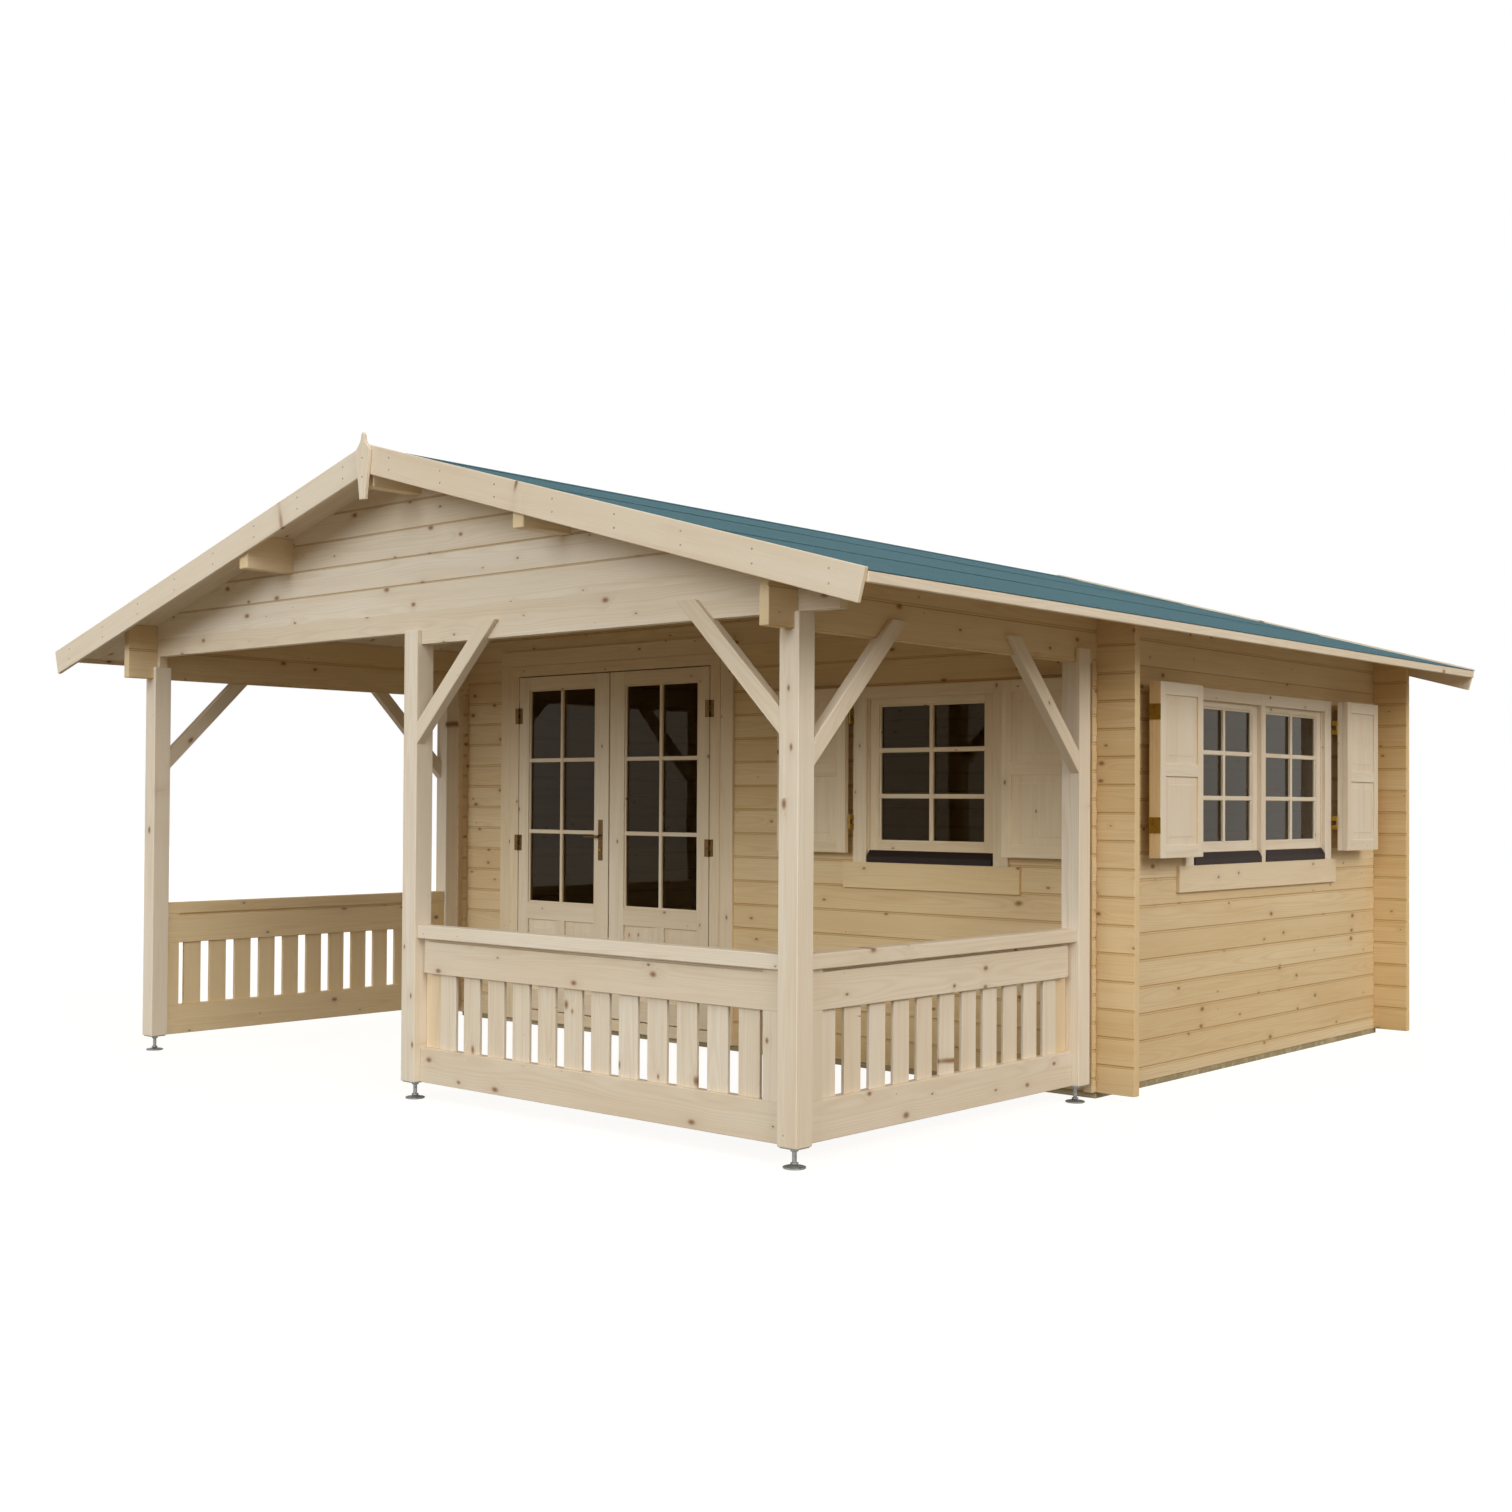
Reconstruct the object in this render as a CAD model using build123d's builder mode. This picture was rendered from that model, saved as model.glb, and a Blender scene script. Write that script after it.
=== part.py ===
"""Log cabin with a covered front porch, built from stacked square-cut logs.

Frame: X runs across the front, Y runs from the porch to the back wall and Z is up.
The origin is on the ground, under the middle of the whole. All sizes are in millimetres.
"""
from build123d import *
from math import atan, cos, radians, sin
import os

# ---------------------------------------------------------------- driving sizes
# Logs
log_thickness = 44
log_height = 122
groove_depth = 4
groove_half_width = 5
notch_play = 0.5
least_log = 30
log_end_side = 186
log_end_front = 35
log_end_back = 95
gable_end_side = 88

# Plan of the cabin and its porch
cabin_width = 4304
cabin_depth = 3109
bearer_height = 28
bearer_width = 70
bearer_setback = 4
joist_count = 6
joist_width = 45
floor_thickness = 19
floor_play = 2
wall_log_count = 17

# Posts of the porch
post_size = 90
porch_depth = 2077
back_post_gap = 93
post_foot_height = 76
cheek_height = 61
slot_play = 0.5

# Steel feet under the posts
foot_disc_radius = 42
foot_disc_height = 7
foot_cone_height = 6
foot_stem_radius = 9
foot_stem_sides = 12
foot_nut_radius = 15
foot_nut_height = 12
foot_plate_size = 76
foot_plate_thickness = 5

# Braces
front_brace_reach = 432
side_brace_reach = 482
brace_width = 68
brace_thickness = 44
brace_lap = 75

# Porch beams
beam_drop = 20
side_beam_overhang = 160
entrance_headroom_cut = 53

# Roof
roof_front_overhang = 248
roof_back_overhang = 126
roof_side_overhang = 503
roof_rise_ratio = 0.28
roof_above_wall = 55
board_thickness = 19
felt_thickness = 4
felt_overhang = 0
ridge_joint = 1
gable_board_depth = 120
gable_board_thickness = 20
gable_board_lip = 12
eave_board_height = 36
eave_board_thickness = 18
purlin_width = 62
purlin_depth = 150
purlin_share = 0.44
purlin_end_gap = 2
finial_width = 96
finial_tip_width = 20
finial_tip_height = 14
finial_foot_width = 36
finial_height = 285
finial_shoulder = 76
finial_rise = 47
finial_thickness = 18

# Railings
rail_height = 750
handrail_depth = 56
handrail_width = 70
handrail_setback = 12
shadow_gap = 14
mid_board_height = 136
foot_board_height = 148
panel_thickness = 46
panel_setback = 34
slat_recess = 18
slat_thickness = 15
slat_slot = 52
near_stile_width = 96
left_stile_width = 66
far_stile_width = 124
far_board_gap = 40
front_slots = (253, 240, 11)
right_slots = (218, 228, 10)
left_slots = (77, 225, 11)
rail_play = 1

# Double door
door_from_left = 1272
leaf_width = 741
leaf_height = 1902
leaf_thickness = 42
leaf_gap = 6
meeting_gap = 9
meeting_stile = 112
hinge_stile = 82
leaf_top_rail = 72
leaf_mid_rail = 96
leaf_bottom_rail = 112
leaf_muntin = 70
door_glass_height = 1220
door_panel_thickness = 20
door_sill_height = 95
door_jamb = 70
door_head = 60
door_proud = 20
frame_play = 4
casing_thickness = 18
door_casing_width = 86
door_casing_joint = 1
door_stop = 14

# Glazing
glass_thickness = 4
bar_width = 22
bar_thickness = 16
rebate = 8
glass_play = 0.2

# Door hardware
hinge_radius = 8
barrel_sides = 12
hinge_length = 90
hinge_stand_off = 9
hinge_plate = 3
hinge_plate_width = 30
hinge_share_gap = 1
hinge_heights = (260, 950, 1680)
handle_height = 1071
handle_plate_width = 34
handle_plate_height = 225
handle_plate_thickness = 4
handle_from_edge = 60
handle_boss_radius = 9
handle_boss_length = 34
lever_height = 1090
lever_length = 108
lever_radius = 8

# Windows
sash_glass_width = 612
sash_glass_height = 661
sash_glass_bottom = 1099
sash_stile = 51
sash_bottom_rail = 37
sash_top_rail = 45
sash_thickness = 38
sash_play = 1
sash_setback = 6
window_jamb = 36
window_mullion = 50
window_sill_depth = 62
window_casing_width = 80
window_casing_reveal = 6
window_head_casing = 58
window_head_lap = 15
front_window_from_right = 890
side_window_shift = 62
apron_height = 126
apron_extra = 61
apron_thickness = 18
sill_proud = 22
sill_front_height = 30
sill_play = 1

# Shutters
shutter_height = 800
shutter_bottom = 1044
shutter_thickness = 28
shutter_stile = 52
shutter_panel_thickness = 12
shutter_proud = 51
shutter_gap = 3
shutter_leaf_play = 3
shutter_rail = 58
shutter_hinge_radius = 4.5
shutter_hinge_joint = 1
shutter_hinge_length = 72
shutter_hinge_heights = (149, 662)
strap_thickness = 3
strap_length = 60
bracket_thickness = 4
fold_joint = 1
fold_plate_thickness = 2.5
side_shutter_width = 412

# ---------------------------------------------------------------- derived places
half_cabin = cabin_width / 2
wall_centre_x = half_cabin - log_thickness / 2
roof_length = roof_front_overhang + porch_depth + cabin_depth + roof_back_overhang
roof_half_width = half_cabin + roof_side_overhang
roof_front = -(roof_length - finial_thickness) / 2
roof_back = roof_front + roof_length
roof_middle = (roof_front + roof_back) / 2

post_x = wall_centre_x
front_wall_face = roof_front + roof_front_overhang + porch_depth
back_wall_outer = front_wall_face + cabin_depth
door_centre = -half_cabin + door_from_left
front_window_centre = half_cabin - front_window_from_right
side_window_centre = front_wall_face + cabin_depth / 2 + side_window_shift
front_wall_y = front_wall_face + log_thickness / 2
back_wall_y = back_wall_outer - log_thickness / 2
front_post_y = front_wall_face - porch_depth + post_size / 2
back_post_y = front_wall_face - back_post_gap - post_size / 2
log_end_reach = half_cabin + log_end_side

wall_top = bearer_height + wall_log_count * log_height
front_beam_bottom = wall_top - log_height - beam_drop
side_beam_bottom = front_beam_bottom - cheek_height
plate_bottom = side_beam_bottom + beam_drop

roof_angle = atan(roof_rise_ratio)
board_rise = board_thickness / cos(roof_angle)
lip_rise = gable_board_lip / cos(roof_angle)
purlin_offset = half_cabin * purlin_share
ridge_under = wall_top + roof_above_wall + half_cabin * roof_rise_ratio
ridge_top = ridge_under + board_rise + lip_rise
eave_height = ridge_top - roof_half_width * roof_rise_ratio
board_start = roof_front + gable_board_thickness
board_end = roof_back - gable_board_thickness


def underside(x):
    """Height of the underside of the roof boards at a distance x from the ridge."""
    return ridge_under - roof_rise_ratio * abs(x)


def slope_plane(side):
    """Plane of the underside of one roof slope; side is -1 for left and 1 for right."""
    normal = (side * sin(roof_angle), 0, cos(roof_angle))
    return Plane(origin=(0, 0, ridge_under), x_dir=(0, 1, 0), z_dir=normal)


def log_levels(low, high, offset):
    """Levels between low and high, one log apart, counted from the bearers plus an offset."""
    levels = [bearer_height + offset + n * log_height for n in range(2 * wall_log_count)]
    return [z for z in levels if low < z < high]


def log_section(centre, bottom, top, offset):
    """Outline of a stack of logs as (across, up) points, with a V groove at each joint."""
    half = log_thickness / 2
    outer = [(half, bottom)]
    for z in log_levels(bottom + least_log, top - least_log, offset):
        outer += [
            (half, z - groove_half_width),
            (half - groove_depth, z),
            (half, z + groove_half_width),
        ]
    outer.append((half, top))
    inner = [(-across, up) for across, up in reversed(outer)]
    return [(centre + across, up) for across, up in outer + inner]


def logs_along_x(start, end, y, bottom, top):
    """Stack of logs that runs along X; its joints are whole logs above the bearers."""
    with BuildSketch(Plane.YZ.offset(start)) as section:
        with BuildLine():
            Polyline(*log_section(y, bottom, top, 0), close=True)
        make_face()
    extrude(section.sketch, amount=end - start)


def logs_along_y(start, end, x, bottom, top):
    """Stack of logs that runs along Y; its joints are half a log higher than along X."""
    with BuildSketch(Plane.XZ.offset(-start)) as section:
        with BuildLine():
            Polyline(*log_section(x, bottom, top, log_height / 2), close=True)
        make_face()
    extrude(section.sketch, amount=start - end)


def corner_notches(x, y, bottom, top, offset):
    """Notches where two stacks cross; each stack keeps every other half log."""
    reach = log_height / 4
    levels = log_levels(bottom - reach, top + reach, offset)
    with Locations(*[(x, y, z) for z in levels]):
        Box(notch_width, notch_width, log_height / 2, mode=Mode.SUBTRACT)


def cut_to_roof():
    """Cut a gable to the underside of both roof slopes."""
    for side in (-1, 1):
        split(bisect_by=slope_plane(side), keep=Keep.BOTTOM)


def purlin_notches(y):
    """Open notches in a gable for the three purlins."""
    for x in (-purlin_offset, 0, purlin_offset):
        with Locations((x, y, purlin_bottom(x) + purlin_depth)):
            Box(
                purlin_width + 2 * notch_play,
                notch_width,
                2 * purlin_depth,
                mode=Mode.SUBTRACT,
            )


def purlin_bottom(x):
    """Height of the bottom of the purlin at a distance x from the ridge."""
    return underside(x) - purlin_depth


def write(part, name):
    """Label a finished piece and write it to its own file."""
    part.label = name
    export_step(part, f"parts/{name}.step")


os.makedirs("parts", exist_ok=True)

notch_width = log_thickness + 2 * notch_play

# ---------------------------------------------------------------- ground work
# Bearers: a frame of battens under the walls, with joists under the floor.
bearer_outer_x = half_cabin - bearer_setback
bearer_outer_y = cabin_depth / 2 - bearer_setback
cabin_middle_y = front_wall_face + cabin_depth / 2
joist_span = cabin_depth - 2 * bearer_setback - 2 * bearer_width
joist_step = joist_span / (joist_count + 1)

with BuildPart() as foundation_bearers:
    with BuildSketch(Plane.XY):
        with Locations((0, cabin_middle_y)):
            Rectangle(2 * bearer_outer_x, 2 * bearer_outer_y)
            Rectangle(
                2 * (bearer_outer_x - bearer_width),
                2 * (bearer_outer_y - bearer_width),
                mode=Mode.SUBTRACT,
            )
            with GridLocations(0, joist_step, 1, joist_count):
                Rectangle(2 * bearer_outer_x - bearer_width, joist_width)
    extrude(amount=bearer_height)
write(foundation_bearers.part, "foundation_bearers")

# Floor boards laid between the walls.
with BuildPart() as cabin_floor:
    with BuildSketch(Plane.XY.offset(bearer_height)):
        with Locations((0, cabin_middle_y)):
            Rectangle(
                cabin_width - 2 * log_thickness - 2 * floor_play,
                cabin_depth - 2 * log_thickness - 2 * floor_play,
            )
    extrude(amount=floor_thickness)
write(cabin_floor.part, "cabin_floor")

# ---------------------------------------------------------------- openings in the walls
frame_inner_half = leaf_width + leaf_gap + meeting_gap / 2
frame_outer_half = frame_inner_half + door_jamb
door_opening_half = frame_outer_half + frame_play
leaf_top = door_sill_height + leaf_height
frame_head_bottom = leaf_top + leaf_gap
frame_head_top = frame_head_bottom + door_head
door_opening_top = frame_head_top + frame_play

sash_half = sash_glass_width / 2 + sash_stile
frame_half = sash_half + sash_play
sash_bottom = sash_glass_bottom - sash_bottom_rail
sash_top = sash_glass_bottom + sash_glass_height + sash_top_rail
double_half = 2 * sash_half + window_mullion / 2
double_frame_half = double_half + sash_play
window_bottom = sash_bottom - window_sill_depth
window_top = sash_top + sash_play + window_jamb
window_opening_bottom = window_bottom - frame_play
window_opening_top = window_top + frame_play
front_window_half = frame_half + window_jamb + frame_play
side_window_half = double_frame_half + window_jamb + frame_play
window_opening_height = window_opening_top - window_opening_bottom
window_opening_middle = (window_opening_top + window_opening_bottom) / 2

# ---------------------------------------------------------------- walls along X
door_left = door_centre - door_opening_half
door_right = door_centre + door_opening_half
ridge_clear = ridge_under + 1
gable_reach = half_cabin + gable_end_side

# Front wall, left of the door.
with BuildPart() as front_wall_left:
    logs_along_x(-log_end_reach, door_left, front_wall_y, bearer_height, wall_top)
    corner_notches(-wall_centre_x, front_wall_y, bearer_height, wall_top, 0)
write(front_wall_left.part, "front_wall_left")

# Front wall, over the door: the last log, cut out around the door frame.
with BuildPart() as front_wall_over_door:
    logs_along_x(door_left, door_right, front_wall_y, door_opening_top, wall_top)
write(front_wall_over_door.part, "front_wall_over_door")

# Front wall, right of the door, with the window opening.
with BuildPart() as front_wall_right:
    logs_along_x(door_right, log_end_reach, front_wall_y, bearer_height, wall_top)
    corner_notches(wall_centre_x, front_wall_y, bearer_height, wall_top, 0)
    with Locations((front_window_centre, front_wall_y, window_opening_middle)):
        Box(2 * front_window_half, notch_width, window_opening_height, mode=Mode.SUBTRACT)
write(front_wall_right.part, "front_wall_right")

# Back wall, a plain stack of logs from corner to corner.
with BuildPart() as back_wall:
    logs_along_x(-log_end_reach, log_end_reach, back_wall_y, bearer_height, wall_top)
    for corner_x in (-wall_centre_x, wall_centre_x):
        corner_notches(corner_x, back_wall_y, bearer_height, wall_top, 0)
write(back_wall.part, "back_wall")

# Gables over the front and back walls of the cabin.
with BuildPart() as cabin_front_gable:
    logs_along_x(-gable_reach, gable_reach, front_wall_y, wall_top, ridge_clear)
    for corner_x in (-wall_centre_x, wall_centre_x):
        corner_notches(corner_x, front_wall_y, wall_top, ridge_clear, 0)
    cut_to_roof()
    purlin_notches(front_wall_y)
write(cabin_front_gable.part, "cabin_front_gable")

with BuildPart() as cabin_back_gable:
    logs_along_x(-gable_reach, gable_reach, back_wall_y, wall_top, ridge_clear)
    for corner_x in (-wall_centre_x, wall_centre_x):
        corner_notches(corner_x, back_wall_y, wall_top, ridge_clear, 0)
    cut_to_roof()
    purlin_notches(back_wall_y)
write(cabin_back_gable.part, "cabin_back_gable")

# Porch gable: a deep beam on the posts, cut out for headroom over the entrance,
# with the gable logs stacked on it.
entrance_left = -post_x + post_size / 2
entrance_right = -post_size / 2

with BuildPart() as porch_gable:
    logs_along_x(-log_end_reach, log_end_reach, front_post_y, front_beam_bottom, wall_top)
    logs_along_x(-gable_reach, gable_reach, front_post_y, wall_top, ridge_clear)
    for corner_x in (-post_x, post_x):
        corner_notches(corner_x, front_post_y, front_beam_bottom, ridge_clear, 0)
    with Locations(
        (
            (entrance_left + entrance_right) / 2,
            front_post_y,
            front_beam_bottom + entrance_headroom_cut / 2,
        )
    ):
        Box(
            entrance_right - entrance_left,
            notch_width,
            entrance_headroom_cut,
            mode=Mode.SUBTRACT,
        )
    cut_to_roof()
    purlin_notches(front_post_y)
write(porch_gable.part, "porch_gable")

# ---------------------------------------------------------------- walls along Y
side_wall_front = front_wall_face - log_end_front
side_wall_back = back_wall_outer + log_end_back
side_beam_front = front_post_y - log_thickness / 2 - side_beam_overhang

# Right wall, with the opening of the double window.
with BuildPart() as right_wall:
    logs_along_y(side_wall_front, side_wall_back, wall_centre_x, bearer_height, plate_bottom)
    for corner_y in (front_wall_y, back_wall_y):
        corner_notches(wall_centre_x, corner_y, bearer_height, plate_bottom, log_height / 2)
    with Locations((wall_centre_x, side_window_centre, window_opening_middle)):
        Box(notch_width, 2 * side_window_half, window_opening_height, mode=Mode.SUBTRACT)
write(right_wall.part, "right_wall")

with BuildPart() as left_wall:
    logs_along_y(side_wall_front, side_wall_back, -wall_centre_x, bearer_height, plate_bottom)
    for corner_y in (front_wall_y, back_wall_y):
        corner_notches(-wall_centre_x, corner_y, bearer_height, plate_bottom, log_height / 2)
write(left_wall.part, "left_wall")

# Plate logs: the top logs of the side walls run forward as the side beams of the porch.
plate_top = underside(half_cabin - log_thickness) + 1
porch_notch_bottom = front_beam_bottom + log_height / 4 + beam_drop


def plate_log(side):
    """Top log of one side wall, which runs forward as the side beam of the porch."""
    x = side * post_x
    with BuildPart() as piece:
        logs_along_y(side_wall_front, side_wall_back, x, plate_bottom, plate_top)
        logs_along_y(side_beam_front, side_wall_front, x, side_beam_bottom, plate_top)
        for corner_y in (front_wall_y, back_wall_y):
            corner_notches(x, corner_y, plate_bottom, plate_top, log_height / 2)
        corner_notches(x, front_post_y, porch_notch_bottom, plate_top, log_height / 2)
        split(bisect_by=slope_plane(side), keep=Keep.BOTTOM)
    return piece.part


plate_pieces = [plate_log(side) for side in (-1, 1)]

with BuildPart() as plate_logs:
    add(plate_pieces)
write(plate_logs.part, "plate_logs")

# Purlins: the ridge purlin and one halfway down each slope.
purlin_length = board_end - board_start - 2 * purlin_end_gap
with BuildPart() as roof_purlins:
    for x in (-purlin_offset, 0, purlin_offset):
        with Locations((x, roof_middle, purlin_bottom(x) + purlin_depth)):
            Box(purlin_width, purlin_length, 2 * purlin_depth)
    cut_to_roof()
write(roof_purlins.part, "roof_purlins")

# ---------------------------------------------------------------- porch
corner_posts = [(side * post_x, y) for side in (-1, 1) for y in (front_post_y, back_post_y)]
slot_width = log_thickness + 2 * slot_play

# Posts: slots in their heads hold the beams between two cheeks.
with BuildPart() as porch_posts:
    for x, y in corner_posts:
        with Locations((x, y, (post_foot_height + front_beam_bottom) / 2)):
            Box(post_size, post_size, front_beam_bottom - post_foot_height)
        with Locations((x, y, front_beam_bottom)):
            Box(slot_width, 2 * post_size, 2 * cheek_height, mode=Mode.SUBTRACT)
    middle_post_top = front_beam_bottom + cheek_height
    with Locations((0, front_post_y, (post_foot_height + middle_post_top) / 2)):
        Box(post_size, post_size, middle_post_top - post_foot_height)
    with Locations((0, front_post_y, middle_post_top)):
        Box(2 * post_size, slot_width, 2 * cheek_height, mode=Mode.SUBTRACT)
write(porch_posts.part, "porch_posts")

# Adjustable steel feet: a disc on the ground, a threaded stem, a nut and a plate.
with BuildPart() as post_feet:
    plate_bottom_height = post_foot_height - foot_plate_thickness
    for x, y in corner_posts + [(0, front_post_y)]:
        with Locations((x, y, foot_disc_height / 2)):
            Cylinder(foot_disc_radius, foot_disc_height)
        with Locations((x, y, foot_disc_height + foot_cone_height / 2)):
            Cone(foot_disc_radius / 2, foot_stem_radius, foot_cone_height)
        with BuildSketch(Plane.XY.offset(foot_disc_height)):
            with Locations((x, y)):
                RegularPolygon(foot_stem_radius, foot_stem_sides)
        extrude(amount=plate_bottom_height - foot_disc_height)
        with BuildSketch(Plane.XY.offset(plate_bottom_height - foot_nut_height)):
            with Locations((x, y)):
                RegularPolygon(foot_nut_radius, 6)
        extrude(amount=foot_nut_height)
        with Locations((x, y, post_foot_height - foot_plate_thickness / 2)):
            Box(foot_plate_size, foot_plate_size, foot_plate_thickness)
write(post_feet.part, "post_feet")


def brace(beam_bottom, reach):
    """Brace that leaves a post along X, its outer face on the XZ plane.

    It rises at 45 degrees to the underside of a beam and its head laps over the beam's face.
    """
    along = brace_width / cos(radians(45))
    with BuildPart() as piece:
        with BuildSketch(Plane.XZ) as outline:
            with BuildLine():
                Polyline(
                    (0, beam_bottom - reach),
                    (reach + brace_lap, beam_bottom + brace_lap),
                    (reach + brace_lap - along, beam_bottom + brace_lap),
                    (0, beam_bottom - reach + along),
                    close=True,
                )
            make_face()
        extrude(outline.sketch, amount=-brace_thickness)
        with Locations((reach, lap_thickness + brace_thickness / 2, beam_bottom + brace_lap)):
            Box(2 * reach, brace_thickness, 2 * brace_lap, mode=Mode.SUBTRACT)
    return piece.part


# Braces: two in the right bay of the front and one at each post along both sides.
post_half = post_size / 2
lap_thickness = (post_size - log_thickness) / 2 - slot_play
front_face_y = front_post_y - post_half
side_face_x = post_x + post_half
front_brace = brace(front_beam_bottom, front_brace_reach)
side_brace = brace(side_beam_bottom, side_brace_reach).rotate(Axis.Z, 90)
brace_pieces = [
    front_brace.moved(Location((post_half, front_face_y, 0))),
    front_brace.mirror(Plane.YZ).moved(Location((post_x - post_half, front_face_y, 0))),
]
for side, piece in ((1, side_brace), (-1, side_brace.mirror(Plane.YZ))):
    x = side * side_face_x
    brace_pieces.append(piece.moved(Location((x, front_post_y + post_half, 0))))
    back_piece = piece.mirror(Plane.XZ)
    brace_pieces.append(back_piece.moved(Location((x, back_post_y - post_half, 0))))

with BuildPart() as post_braces:
    add(brace_pieces)
write(post_braces.part, "post_braces")


# ---------------------------------------------------------------- railings
def timber(along, across, up):
    """Box between pairs of places along X, Y and Z."""
    with Locations((sum(along) / 2, sum(across) / 2, sum(up) / 2)):
        Box(along[1] - along[0], across[1] - across[0], up[1] - up[0])


def railing(length, slots, stile_width):
    """Railing panel along X from 0 to length, its outer side towards -Y.

    The handrail and two wide boards join in one frame, with a groove under the handrail, and
    the slats stand back in it. At its start the panel has a stile flush with the boards. At its
    end the upper board stops short of the post, and a thin stile closes the back.
    The slots between the slats are given by the distances of the first and the last one
    from the ends, and their number.
    """
    first, last, count = slots
    pitch = (length - first - last) / (count - 1)
    handrail_bottom = rail_height - handrail_depth
    mid_top = handrail_bottom - shadow_gap
    mid_bottom = mid_top - mid_board_height
    foot_top = post_foot_height + foot_board_height
    outer = -post_half + panel_setback
    inner = outer + panel_thickness
    slat_front = outer + slat_recess
    slat_back = slat_front + slat_thickness
    handrail_front = -post_half + handrail_setback
    with BuildPart() as piece:
        handrail_across = (handrail_front, handrail_front + handrail_width)
        timber((0, length), handrail_across, (handrail_bottom, rail_height))
        timber((0, length), (outer, inner), (post_foot_height, foot_top))
        timber((0, length - far_board_gap), (outer, inner), (mid_bottom, mid_top))
        timber((0, length), (slat_front, slat_back), (mid_bottom, handrail_bottom))
        timber((0, stile_width), (outer, inner), (foot_top, handrail_bottom))
        timber((length - far_stile_width, length), (slat_back, inner), (foot_top, handrail_bottom))
        for n in range(count + 1):
            start = max(0, first + (n - 1) * pitch + slat_slot / 2)
            end = first + n * pitch - slat_slot / 2
            timber((start, end), (slat_front, slat_back), (foot_top, mid_bottom))
    return piece.part


front_panel_length = post_x - post_half - post_half - 2 * rail_play
side_panel_length = back_post_y - front_post_y - post_size - 2 * rail_play
front_panel = railing(front_panel_length, front_slots, near_stile_width)
right_panel = railing(side_panel_length, right_slots, near_stile_width)
left_panel = railing(side_panel_length, left_slots, left_stile_width)
panel_start_y = front_post_y + post_half + rail_play
panel_start_x = post_x - post_half - rail_play
placed_front = front_panel.mirror(Plane.YZ).moved(Location((panel_start_x, front_post_y, 0)))
placed_right = right_panel.rotate(Axis.Z, 90).moved(Location((post_x, panel_start_y, 0)))
placed_left = left_panel.rotate(Axis.Z, 90).mirror(Plane.YZ).moved(
    Location((-post_x, panel_start_y, 0))
)

with BuildPart() as front_railing:
    add(placed_front)
write(front_railing.part, "front_railing")

with BuildPart() as right_railing:
    add(placed_right)
write(right_railing.part, "right_railing")

with BuildPart() as left_railing:
    add(placed_left)
write(left_railing.part, "left_railing")

# ---------------------------------------------------------------- roof
roof_edge = roof_half_width - eave_board_thickness
felt_rise = felt_thickness / cos(roof_angle)


def deck(x):
    """Height of the top of the roof boards at a distance x from the ridge."""
    return underside(x) + board_rise


def slope_prism(outlines, front, back):
    """Solids with the given (x, up) outlines between two places along Y."""
    with BuildPart() as piece:
        for outline in outlines:
            with BuildSketch(Plane.XZ.offset(-front)) as section:
                with BuildLine():
                    Polyline(*outline, close=True)
                make_face()
            extrude(section.sketch, amount=front - back)
    return piece.part


def both_sides(outline):
    """An outline and its mirror image across the ridge."""
    return [outline, [(-x, up) for x, up in outline]]


# Roof boards, two slopes that meet under the ridge.
board_outline = [
    (ridge_joint / 2, underside(ridge_joint / 2)),
    (roof_edge, underside(roof_edge)),
    (roof_edge, deck(roof_edge)),
    (ridge_joint / 2, deck(ridge_joint / 2)),
]
board_slopes = slope_prism(both_sides(board_outline), board_start, board_end)

with BuildPart() as roof_boards:
    add(board_slopes)
write(roof_boards.part, "roof_boards")

# Eave boards along the lower edges of both slopes.
eave_bottom = deck(roof_half_width) - eave_board_height
eave_outline = [
    (roof_edge, eave_bottom),
    (roof_half_width, eave_bottom),
    (roof_half_width, deck(roof_half_width)),
    (roof_edge, deck(roof_edge)),
]
eave_pair = slope_prism(both_sides(eave_outline), board_start, board_end)

with BuildPart() as eave_boards:
    add(eave_pair)
write(eave_boards.part, "eave_boards")

# Felt over both slopes, turned over the eaves.
felt_edge = roof_half_width + felt_overhang
felt_outline = [
    (-felt_edge, deck(felt_edge)),
    (0, deck(0)),
    (felt_edge, deck(felt_edge)),
    (felt_edge, deck(felt_edge) + felt_rise),
    (0, deck(0) + felt_rise),
    (-felt_edge, deck(felt_edge) + felt_rise),
]
felt_cover = slope_prism([felt_outline], board_start, board_end)

with BuildPart() as roof_felt:
    add(felt_cover)
write(roof_felt.part, "roof_felt")

# Gable boards: a mitred pair at each end, cut square to the slope at the eaves.
end_shift = gable_board_depth * sin(roof_angle)
end_drop = gable_board_depth * cos(roof_angle)
ridge_drop = gable_board_depth / cos(roof_angle)
gable_board_outline = [
    (ridge_joint / 2, ridge_top - roof_rise_ratio * ridge_joint / 2),
    (roof_half_width, eave_height),
    (roof_half_width - end_shift, eave_height - end_drop),
    (ridge_joint / 2, ridge_top - roof_rise_ratio * ridge_joint / 2 - ridge_drop),
]
front_pair = slope_prism(both_sides(gable_board_outline), roof_front, board_start)
back_pair = slope_prism(both_sides(gable_board_outline), board_end, roof_back)

with BuildPart() as front_gable_boards:
    add(front_pair)
write(front_gable_boards.part, "front_gable_boards")

with BuildPart() as back_gable_boards:
    add(back_pair)
write(back_gable_boards.part, "back_gable_boards")

# Finial over the mitre of the front gable boards.
finial_top = ridge_top + finial_rise
finial_neck = finial_top - finial_tip_height
finial_level = finial_top - finial_shoulder

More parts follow.
